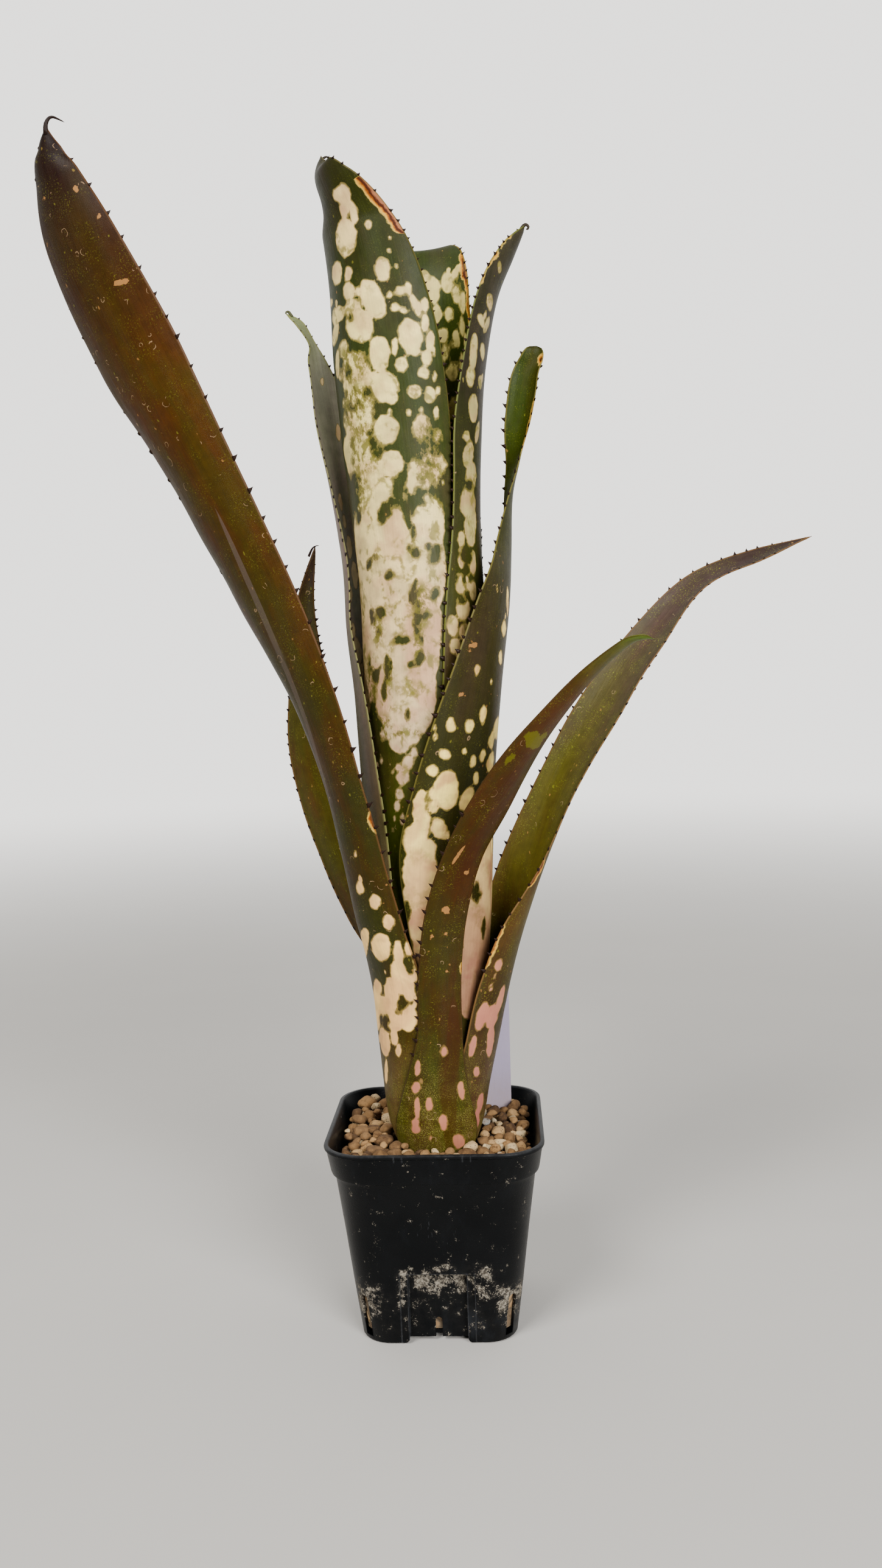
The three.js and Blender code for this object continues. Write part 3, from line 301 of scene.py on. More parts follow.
        (-17.9, 143, 0.6, 1.1, -29), (-18.4, 132, 2.7, 6.2, 2), (-10.1, 139, 2.4, 5.9, -3),
        (-12.8, 132, 3.8, 5.1, -8), (-10.2, 121, 2.7, 7.5, -12), (-19.6, 119, 1.5, 4.9, 0),
        (-15, 108, 1.5, 2.8, -23), (-8.3, 94, 2.4, 4.4, -15), (-8.3, 87, 1.7, 5.4, -26),
    ]),
}

# Dried margins: (side, from, to, width of the dead strip), places along the leaf in mm
BURNS = {
    "leaf_tube_front": [(1, 443, 461, 2.6)],
    "leaf_tube_back": [(-1, 408, 452, 0.2), (-1, 436, 448, 1.4)],
    "leaf_tube_right": [(-1, 424, 453, -1.0), (-1, 437, 443, 0.4)],
    "leaf_front_right": [(-1, 362, 388, -0.7)],
    "leaf_left": [(1, 213, 223, 0.1)],
    "leaf_right": [(-1, 183, 199, 0.5), (-1, 150, 170, -0.4)],
    "leaf_front": [(1, 152, 160, -0.4)],
}

# Thorns: where they begin on the two sides, their spacing low down and at the tip, their size, and
# where they end. All but the size are in mm, and the places lie along the leaf.
THORNS = {
    "leaf_front": (118, 400, 6.8, 5.6, 1.15, 226),
    "leaf_left": (150, 150, 12.0, 10.0, 1.2, 1000),
    "leaf_right": (150, 190, 6.6, 5.6, 1.0, 1000),
    "leaf_front_right": (215, 215, 7.8, 4.6, 1.25, 1000),
}
USUAL_THORNS = (130, 130, 6.9, 3.6, 1.1, 1000)
BARE_TIP = 2.5

# Curled tips beyond the blades: the path of each, and its thickness at both ends
TIPS = {
    "leaf_left": ([(-126.9, -63, 470.5), (-126.8, -63, 474), (-125.6, -63, 476.1),
                   (-124, -63, 476.5), (-121.9, -63, 475.6), (-119.7, -63, 474.4)], 2.1, 0.4),
    "leaf_tube_right": ([(44.6, -0.6, 449.4), (45.9, -0.8, 451.6), (47.1, -1, 452.1),
                         (48, -1, 451.3), (47.7, -1, 450.4), (46.9, -1, 450.4)], 1.8, 0.7),
    "leaf_tube_front": ([(-34.2, -9.6, 477.2), (-33, -9.5, 478.4), (-31.6, -9.5, 478.9),
                         (-30.2, -9.5, 478.2)], 1.6, 0.4),
    "leaf_inner_left": ([(-50.6, 8.6, 422.4), (-51.8, 8.4, 424.3), (-52.8, 8.2, 424.3),
                         (-53.1, 8, 423.4)], 1.5, 0.6),
    "leaf_back_left": ([(-52.6, 45.8, 327.2), (-50.9, 46, 330.6), (-49.3, 46, 331.8),
                        (-47.6, 46, 331.9)], 1.2, 0.3),
}

# --- Numbers and colours ----------------------------------------------------------------------

def srgb(red, green, blue):
    """A linear colour from 8-bit screen values."""
    values = [c / 255 for c in (red, green, blue)]
    linear = [c / 12.92 if c <= 0.04045 else ((c + 0.055) / 1.055) ** 2.4 for c in values]
    return (*linear, 1.0)


def unit(vectors):
    return vectors / np.linalg.norm(vectors, axis=-1, keepdims=True)


# --- Materials --------------------------------------------------------------------------------

class Shader:
    """The node tree of a material or the world, with short calls for the nodes that looks use."""

    def __init__(self, owner):
        owner.use_nodes = True
        self.owner = owner
        self.tree = owner.node_tree
        self.tree.nodes.clear()

    def add(self, kind, inputs=None, **settings):
        node = self.tree.nodes.new(kind)
        for key, value in settings.items():
            setattr(node, key, value)
        for key, value in (inputs or {}).items():
            self.put(node.inputs[key], value)
        return node

    def put(self, socket, value):
        if isinstance(value, bpy.types.NodeSocket):
            self.tree.links.new(value, socket)
        else:
            socket.default_value = value

    def math(self, operation, *values, clamp=False):
        inputs = dict(enumerate(values))
        node = self.add("ShaderNodeMath", inputs, operation=operation, use_clamp=clamp)
        return node.outputs[0]

    def plus(self, a, b):
        return self.math("ADD", a, b)

    def minus(self, a, b):
        return self.math("SUBTRACT", a, b)

    def rest(self, value):
        """One minus the value."""
        return self.minus(1.0, value)

    def times(self, a, b):
        return self.math("MULTIPLY", a, b)

    def most(self, a, b):
        return self.math("MAXIMUM", a, b)

    def size(self, value):
        return self.math("ABSOLUTE", value)

    def swing(self, value, middle, gain):
        """The value about its middle, times the gain."""
        return self.times(self.minus(value, middle), gain)

    def smooth(self, value, low, high):
        inputs = {"Value": value, "From Min": low, "From Max": high}
        node = self.add("ShaderNodeMapRange", inputs, interpolation_type="SMOOTHSTEP")
        return node.outputs["Result"]

    def less(self, value, low, high):
        """One up to low and nothing from high."""
        return self.rest(self.smooth(value, low, high))

    def mix(self, factor, a, b, blend="MIX"):
        inputs = {0: factor, 6: a, 7: b}
        node = self.add("ShaderNodeMix", inputs, data_type="RGBA", blend_type=blend)
        return node.outputs[2]

    def shaded(self, colour, red, green=None, blue=None):
        """The colour times a grey, or times three values."""
        factors = self.joined(red, red if green is None else green, red if blue is None else blue)
        return self.mix(1.0, colour, factors, "MULTIPLY")

    def laid(self, colour, tone, mask, strength):
        """The colour with a tone over it where the mask is."""
        return self.mix(self.times(mask, strength), colour, tone)

    def ramp(self, factor, stops):
        node = self.add("ShaderNodeValToRGB", {0: factor})
        elements = node.color_ramp.elements
        while len(elements) < len(stops):
            elements.new(1.0)
        for element, (position, colour) in zip(elements, stops):
            element.position = position
            element.color = colour
        return node.outputs[0]

    def scaled(self, vector, factors):
        node = self.add("ShaderNodeVectorMath", {0: vector, 1: factors}, operation="MULTIPLY")
        return node.outputs[0]

    def noise(self, vector, scale, detail=2.0, roughness=0.5):
        inputs = {"Vector": vector, "Scale": scale, "Detail": detail, "Roughness": roughness}
        return self.add("ShaderNodeTexNoise", inputs).outputs[0]

    def patches(self, low, high, *noise):
        """The places where a noise is high, with a soft edge from low to high."""
        return self.smooth(self.noise(*noise), low, high)

    def sway(self, gain, *noise):
        """A noise about nought, times the gain."""
        return self.swing(self.noise(*noise), 0.5, gain)

    def cells(self, vector, scale, feature="F1"):
        """Distance to the nearest point of a scatter, and a random value of that point."""
        node = self.add("ShaderNodeTexVoronoi", {"Vector": vector, "Scale": scale}, feature=feature)
        if feature == "DISTANCE_TO_EDGE":
            return node.outputs["Distance"]
        return node.outputs["Distance"], self.split(node.outputs["Color"])

    def split(self, vector):
        return self.add("ShaderNodeSeparateXYZ", {0: vector}).outputs[:3]

    def joined(self, x, y, z):
        return self.add("ShaderNodeCombineXYZ", {0: x, 1: y, 2: z}).outputs[0]

    def warped(self, vector, scale, amount):
        """The vector, pushed about by a noise."""
        inputs = {"Vector": vector, "Scale": scale, "Detail": 2.0}
        push = self.add("ShaderNodeTexNoise", inputs).outputs[1]
        push = self.add("ShaderNodeVectorMath", {0: push, 1: (0.5, 0.5, 0.5)}, operation="SUBTRACT")
        push = self.scaled(push.outputs[0], (amount, amount, 0.0))
        return self.add("ShaderNodeVectorMath", {0: vector, 1: push}).outputs[0]

    def attribute(self, name):
        return self.add("ShaderNodeAttribute", attribute_name=name).outputs["Vector"]

    def place(self):
        return self.add("ShaderNodeTexCoord").outputs["Object"]

    def bump(self, height, distance, strength=1.0, normal=None):
        inputs = {"Height": height, "Distance": distance, "Strength": strength}
        if normal is not None:
            inputs["Normal"] = normal
        return self.add("ShaderNodeBump", inputs).outputs[0]

    def finish(self, colour, roughness, normal=None, **plain):
        inputs = {"Base Color": colour, "Roughness": roughness}
        if normal is not None:
            inputs["Normal"] = normal
        inputs.update({key.replace("_", " "): value for key, value in plain.items()})
        surface = self.add("ShaderNodeBsdfPrincipled", inputs)
        output = self.add("ShaderNodeOutputMaterial")
        self.tree.links.new(surface.outputs[0], output.inputs[0])
        return self.owner


# Tones that the leaves share
PINK = srgb(160, 88, 80)
MOSS = srgb(94, 92, 22)
VERGE = srgb(92, 86, 22)
THORN = srgb(28, 14, 7)
SCAR = srgb(150, 104, 56)
DEAD_TONES = [
    (0.1, srgb(206, 184, 96)), (0.3, srgb(208, 148, 38)), (0.48, srgb(132, 66, 14)),
    (0.6, srgb(52, 18, 6)), (0.78, srgb(76, 30, 8)), (0.92, srgb(150, 94, 62)),
]
SCURF = srgb(140, 142, 128)

# Looks of each leaf. A `tissue` row is (place along the leaf in mm, green tone, brown tone) and a
# `cream` row (place, tone), from base to tip in 8-bit screen colours. `brownness` shares out the
# two tissue tones, `rim` is the margin line, and the rest are strengths of what leaf_material adds.
LOOKS = {
    "leaf_front": dict(tissue=[
        (66, (68, 65, 14), (70, 51, 22)), (110, (42, 44, 2), (46, 31, 2)),
        (180, (44, 33, 2), (50, 27, 2)), (285, (56, 40, 2), (64, 32, 2)),
        (312, (74, 82, 17), (72, 71, 18)), (345, (92, 120, 15), (89, 115, 15)),
    ], cream=[
        (66, (214, 176, 96)), (345, (230, 200, 100)),
    ], brownness=0.5, flecks=0.9, curls=0.5, pink=0.3, blush=0.85, rim=(52, 34, 10)),
    "leaf_left": dict(tissue=[
        (68, (87, 72, 27), (111, 76, 50)), (130, (42, 40, 2), (51, 36, 2)),
        (165, (37, 37, 2), (46, 33, 2)), (220, (38, 36, 2), (48, 31, 2)),
        (400, (56, 39, 3), (61, 33, 3)), (455, (44, 29, 6), (47, 26, 7)),
        (490, (23, 12, 9), (24, 10, 9)),
    ], cream=[
        (68, (236, 190, 110)), (160, (246, 204, 116)), (220, (222, 180, 104)),
        (490, (196, 150, 96)),
    ], brownness=0.45, flecks=0.6, curls=0.7, pink=0.45, blush=0.12, rim=(78, 50, 24)),
    "leaf_right": dict(tissue=[
        (71, (61, 43, 21), (75, 45, 30)), (140, (45, 38, 9), (44, 29, 10)),
        (175, (68, 57, 13), (66, 45, 14)), (240, (63, 56, 12), (59, 49, 12)),
        (320, (56, 44, 37), (59, 40, 38)), (380, (36, 24, 22), (33, 21, 20)),
    ], cream=[
        (71, (150, 110, 78)), (105, (180, 142, 98)), (150, (206, 170, 104)), (380, (206, 176, 110)),
    ], brownness=0.4, flecks=1.0, curls=0.4, pink=0.3, blush=0.8, rim=(104, 74, 40)),
    "leaf_back_left": dict(tissue=[
        (74, (60, 55, 19), (72, 51, 22)), (200, (64, 56, 7), (72, 46, 9)),
        (320, (49, 40, 16), (50, 30, 16)), (360, (47, 33, 25), (47, 28, 24)),
    ], cream=[
        (74, (224, 196, 104)), (360, (224, 196, 104)),
    ], brownness=0.4, flecks=0.9, curls=0.2, pink=0.4, blush=0.2, rim=(86, 62, 32)),
    "leaf_front_right": dict(tissue=[
        (77, (62, 55, 19), (83, 55, 33)), (200, (33, 34, 2), (39, 33, 2)),
        (290, (42, 36, 10), (48, 38, 22)), (370, (37, 44, 4), (42, 41, 4)),
        (410, (29, 38, 3), (41, 37, 6)),
    ], cream=[
        (77, (190, 150, 98)), (150, (196, 162, 104)), (190, (224, 194, 116)),
        (235, (242, 218, 108)), (300, (236, 208, 108)), (410, (226, 198, 104)),
    ], brownness=0.35, flecks=0.5, curls=0.2, pink=0.6, blush=0.1, rim=(97, 89, 38), mesh=0.3),
    # leaf_inner_left: its grey upper tones and strong scurf are partly silvery scurf, partly a
    # painted sheen
    "leaf_inner_left": dict(tissue=[
        (80, (78, 74, 36), (100, 82, 46)), (200, (84, 78, 40), (98, 82, 50)),
        (330, (112, 104, 82), (118, 96, 86)), (395, (104, 98, 86), (110, 96, 90)),
        (425, (90, 94, 60), (90, 88, 62)),
    ], cream=[
        (80, (200, 176, 110)), (425, (200, 180, 120)),
    ], brownness=0.45, flecks=0.3, curls=0.1, pink=0.4, blush=0.1, rim=(112, 112, 60), scurf=0.4),
    "leaf_inner_back": dict(tissue=[
        (84, (68, 69, 30), (86, 70, 41)), (240, (48, 57, 9), (60, 50, 19)),
        (372, (45, 50, 15), (53, 46, 21)),
    ], cream=[
        (84, (226, 200, 104)), (372, (226, 200, 104)),
    ], brownness=0.4, flecks=0.4, curls=0.2, pink=0.4, blush=0.1, rim=(97, 89, 38)),
    "leaf_tube_right": dict(tissue=[
        (88, (77, 81, 35), (90, 75, 47)), (260, (52, 53, 13), (62, 46, 22)),
        (340, (40, 41, 12), (49, 39, 24)), (400, (30, 29, 14), (39, 33, 23)),
        (455, (48, 45, 31), (54, 47, 36)),
    ], cream=[
        (88, (186, 168, 100)), (290, (186, 162, 100)), (340, (160, 148, 88)), (400, (170, 158, 96)),
        (455, (176, 160, 104)),
    ], brownness=0.4, flecks=0.35, curls=0.1, pink=0.3, blush=0.0, rim=(92, 96, 34), streaks=0.9,
       mesh=0.8),
    "leaf_tube_front": dict(tissue=[
        (92, (88, 86, 14), (98, 86, 16)), (200, (56, 62, 9), (70, 64, 14)),
        (245, (42, 44, 10), (52, 46, 14)), (320, (48, 52, 22), (64, 54, 34)),
        (400, (39, 48, 12), (44, 47, 18)), (440, (35, 40, 5), (40, 39, 12)),
        (482, (34, 29, 8), (36, 26, 10)),
    ], cream=[
        (92, (168, 152, 108)), (250, (190, 166, 120)), (300, (206, 180, 122)),
        (340, (218, 198, 124)), (400, (228, 210, 124)), (470, (214, 184, 122)),
    ], brownness=0.35, flecks=0.3, curls=0.1, pink=0.35, blush=0.06, rim=(80, 72, 30), streaks=0.9,
       mesh=0.75),
    "leaf_tube_back": dict(tissue=[
        (96, (56, 59, 13), (68, 58, 23)), (300, (42, 49, 5), (53, 49, 9)),
        (430, (34, 41, 3), (43, 46, 4)), (470, (33, 35, 18), (37, 34, 21)),
    ], cream=[
        (96, (190, 172, 96)), (405, (200, 186, 104)), (470, (192, 172, 100)),
    ], brownness=0.35, flecks=0.3, curls=0.1, pink=0.1, blush=0.0, rim=(120, 96, 24), mesh=0.7),
}


def leaf_material(name, look, first, length, seed):
    """Green tissue with veins, flecks and silvery scurf, cream blotches, and dead or scarred
    places. The mesh carries these attributes, with depths into marked places in mm:
    `place`: across, along and distance to the margin, in cm
    `mark`: depth into the cream, mossiness, depth into dead tissue
    `run`: share of the length, depth into a scar, thorn
    `tint`: depths into yellowed and browned tissue, inner face
    `cast`: depths into shaded, rosy and shining places"""
    s = Shader(bpy.data.materials.new(name))
    across, along, rim = s.split(s.attribute("place"))
    cream_depth, moss, dead_depth = s.split(s.attribute("mark"))
    share, scar_depth, thorn = s.split(s.attribute("run"))
    flat = s.joined(across, along, float(seed))
    veins_at = s.joined(s.times(across, 13.0), s.times(along, 0.45), float(seed))

    def tones(at, rows, column):
        return s.ramp(at, [((row[0] - first) / length, srgb(*row[column])) for row in rows])

    # Tones along the leaf
    drawn_out = s.scaled(flat, (1.0, 0.3, 1.0))
    drifted = s.math("ADD", share, s.sway(0.12, drawn_out, 0.9, 3.0), clamp=True)
    clouds = s.noise(drawn_out, 0.9, 4.0, 0.6)
    middle = 0.5 + 0.35 * (0.5 - look["brownness"])
    tissue = s.mix(s.smooth(clouds, middle - 0.14, middle + 0.14),
                   tones(drifted, look["tissue"], 1), tones(drifted, look["tissue"], 2))
    veins = s.noise(veins_at, 1.0, 2.0, 0.6)
    grain = s.noise(flat, 34.0, 2.0, 0.6)
    shade = s.plus(s.swing(veins, 0.5, 0.5), s.swing(grain, 0.5, 0.5))
    shade = s.plus(shade, s.sway(0.7, flat, 2.4, 3.0, 0.6))
    shade = s.plus(shade, 1.0)
    tissue = s.shaded(tissue, shade)

    # Small pale flecks, a few of them tan, and curled scratches
    bent = s.warped(flat, 4.0, 0.16)
    fleck_distance, (fleck_random, fleck_kind, _) = s.cells(s.scaled(bent, (1.0, 0.7, 1.0)), 5.5)
    fleck_size = s.times(s.smooth(fleck_random, 1.0 - 0.34 * look["flecks"], 1.0), 0.26)
    flecks = s.smooth(s.minus(fleck_size, fleck_distance), -0.03, 0.1)
    fleck_tone = s.mix(s.smooth(fleck_kind, 0.5, 0.7), srgb(98, 94, 26), srgb(132, 92, 46))
    tissue = s.laid(tissue, fleck_tone, flecks, 0.7)
    foot = s.less(along, 8.5, 13.0)
    dust = s.patches(0.54, 0.68, bent, 15.0, 3.0, 0.7)
    patches = s.patches(0.42, 0.62, flat, 1.3, 3.0, 0.6)
    dust = s.times(dust, s.most(s.times(patches, 0.6 * look["flecks"]), s.times(foot, 0.85)))
    tissue = s.mix(dust, tissue, srgb(112, 112, 30))
    speckle = s.patches(0.5, 0.62, bent, 26.0, 2.0, 0.6)
    speckle = s.times(speckle, s.times(s.patches(0.36, 0.58, flat, 1.6, 3.0, 0.6), foot))
    tissue = s.laid(tissue, srgb(132, 124, 62), speckle, 0.6)
    ring_distance, (ring_random, ring_gate, _) = s.cells(bent, 1.7)
    ring = s.minus(ring_distance, s.plus(0.13, s.times(ring_random, 0.16)))
    ring = s.less(s.size(ring), 0.006, 0.026)
    ring = s.times(ring, s.smooth(ring_gate, 1.0 - look["curls"], 1.05 - look["curls"]))
    ring = s.times(ring, s.patches(0.5, 0.56, flat, 3.1, 2.0))
    tissue = s.laid(tissue, srgb(150, 122, 90), ring, 0.6)

    # Damaged places: yellow-green and brown; then a painted sheen, and the inner face lighter
    # partly by painted light
    ragged = s.plus(s.sway(1.6, flat, 8.0, 3.0, 0.6), s.sway(3.4, flat, 2.3, 2.0, 0.5))
    pale_depth, brown_depth, inner = s.split(s.attribute("tint"))
    torn = s.sway(6.0, flat, 2.6, 4.0, 0.62)
    browned = s.smooth(s.plus(brown_depth, torn), -2.2, 2.4)
    tissue = s.laid(tissue, srgb(52, 22, 3), browned, 0.55)
    paled = s.smooth(s.plus(pale_depth, torn), -0.2, 0.5)
    tissue = s.laid(tissue, srgb(88, 84, 8), paled, 0.8)
    dim_depth, rose_depth, painted_sheen_depth = s.split(s.attribute("cast"))
    # Painted sheen: a pale grey-pink stripe laid where a reflection lies on the fold
    painted_sheen = s.smooth(s.plus(painted_sheen_depth, s.times(torn, 0.4)), -1.4, 1.8)
    tissue = s.laid(tissue, srgb(122, 108, 104), painted_sheen, 0.2)
    # The inner face a quarter lighter and a little greener: partly its own tone, partly painted
    # light
    inner_tone_and_painted_light = s.plus(1.0, s.times(inner, 0.25))
    tissue = s.shaded(tissue, inner_tone_and_painted_light, s.plus(inner_tone_and_painted_light, s.times(inner, 0.12)))

    # Cream, with the veins through it and pink towards the edges of the blotches
    wobble = s.sway(2.2, flat, 3.2, 1.5, 0.5)
    moss_noise = s.noise(s.scaled(flat, (1.0, 0.7, 1.0)), 2.3, 4.0, 0.62)
    depth = s.plus(cream_depth, wobble)
    depth = s.plus(depth, s.times(moss, s.swing(moss_noise, 0.56, 15.0)))
    edge = s.plus(0.45, s.times(moss, 1.2))
    cream_mask = s.smooth(depth, s.times(edge, -1.0), edge)
    spot_distance, (spot_random, spot_gate, _) = s.cells(s.scaled(bent, (1.0, 0.62, 1.0)), 1.55)
    spot_size = s.times(s.smooth(spot_random, 0.55, 1.0), 0.2)
    near = s.smooth(cream_depth, -6.0, -1.0)
    spot = s.smooth(s.minus(spot_size, spot_distance), -0.02, 0.045)
    spot = s.times(spot, s.smooth(s.times(spot_gate, near), 0.3, 0.4))
    cream_mask = s.most(cream_mask, spot)
    pinkness = s.patches(0.44, 0.66, flat, 0.75, 3.0, 0.55)
    rose = s.less(depth, 0.2, 2.0)
    pink_share = s.times(s.most(pinkness, s.times(rose, 0.7)), look["pink"])
    pink_share = s.most(pink_share, look["blush"])
    rosy = s.smooth(s.plus(rose_depth, s.times(torn, 1.6)), -3.0, 3.0)
    pink_share = s.most(pink_share, s.times(rosy, 0.42))
    cream = tones(share, look["cream"], 1)
    lift = s.plus(0.86, s.times(s.patches(0.36, 0.64, flat, 1.3, 4.0), 0.3))
    cream = s.shaded(cream, lift, blue=s.plus(lift, 0.08))
    cream = s.mix(pink_share, cream, PINK)
    light = s.plus(s.plus(s.swing(veins, 0.5, 0.3), s.swing(grain, 0.5, 0.14)), 1.0)
    cream = s.shaded(cream, light)

    # Olive streaks that show through the cream, most of all where it is mossy
    streaks_at = s.scaled(s.warped(flat, 1.5, 0.5), (1.0, 0.5, 1.0))
    streaks = s.patches(0.54, 0.66, streaks_at, 2.2, 4.0, 0.6)
    region = s.patches(0.38, 0.52, flat, 0.7, 2.0)
    region = s.times(region, s.less(along, 33.5, 36.5))
    stain = s.patches(0.44, 0.57, s.scaled(flat, (1.0, 0.7, 1.0)), 3.4, 4.0, 0.65)
    stain = s.most(s.times(stain, moss), s.times(streaks, s.times(region, look.get("streaks", 0))))
    cream = s.laid(cream, MOSS, stain, 0.85)
    verge = s.times(s.times(cream_mask, s.rest(cream_mask)), 2.4)
    colour = s.mix(cream_mask, tissue, cream)
    colour = s.mix(verge, colour, VERGE)

    # A network of thin olive lines through the broad cream
    mesh_at = s.scaled(s.warped(flat, 2.2, 0.5), (1.0, 0.7, 1.0))
    lines = s.less(s.cells(mesh_at, 1.2, "DISTANCE_TO_EDGE"), 0.03, 0.2)
    lines = s.times(lines, s.patches(0.44, 0.58, flat, 0.8, 3.0, 0.6))
    lines = s.times(lines, s.patches(0.38, 0.58, flat, 4.5, 2.0))
    network = s.times(s.times(lines, cream_mask), look.get("mesh", 0))
    colour = s.mix(network, colour, srgb(108, 100, 34))

    # Silvery scurf
    scurf = s.patches(0.52, 0.7, flat, 42.0, 1.0)
    haze = s.patches(0.36, 0.66, s.scaled(flat, (1.2, 0.25, 1.0)), 0.9, 3.0)
    scurf = s.times(s.times(scurf, haze), look.get("scurf", 0.06))
    colour = s.mix(scurf, colour, SCURF)

    # Scars, and dead tissue with a dark line and a pale border around it
    scar = s.smooth(s.plus(scar_depth, ragged), -0.1, 0.25)
    colour = s.laid(colour, SCAR, scar, 0.85)
    dead = s.plus(dead_depth, ragged)
    dead_tone = s.ramp(s.times(s.plus(dead, 2.4), 0.25), DEAD_TONES)
    colour = s.mix(s.times(s.smooth(dead, -2.2, -1.3), 0.9), colour, dead_tone)

    # Margin line and thorns
    edge_line = s.less(rim, 0.02, 0.075)
    colour = s.laid(colour, srgb(*look["rim"]), edge_line, 0.7)
    colour = s.mix(s.smooth(thorn, 0.05, 0.4), colour, THORN)

    # Places deep in the shade of the leaves around them
    dim = s.times(s.smooth(dim_depth, -4.0, 5.0), 0.38)
    keep = s.rest(dim)
    green, blue = s.plus(keep, s.times(dim, -0.08)), s.plus(keep, s.times(dim, 0.1))
    colour = s.shaded(colour, keep, green, blue)

    # Relief
    height = s.plus(s.times(veins, 0.6), s.times(grain, 0.4))
    normal = s.bump(height, 0.00022, 0.55)
    swell = s.noise(drawn_out, 2.2, 2.0)
    normal = s.bump(swell, 0.0006, 0.35, normal)
    roughness = s.plus(0.34, s.times(s.noise(flat, 3.0, 3.0), 0.16))
    roughness = s.plus(roughness, s.times(scurf, 0.25))
    roughness = s.plus(roughness, s.times(s.smooth(dead, -0.1, 0.35), 0.2))
    return s.finish(colour, roughness, normal, Specular_IOR_Level=0.1)


# Half width of a side panel and of the step around it, and the height of the panel, in mm
PANEL_HALF = 12.0
STEP_HALF = 15.2
PANEL_TOP = 31.0


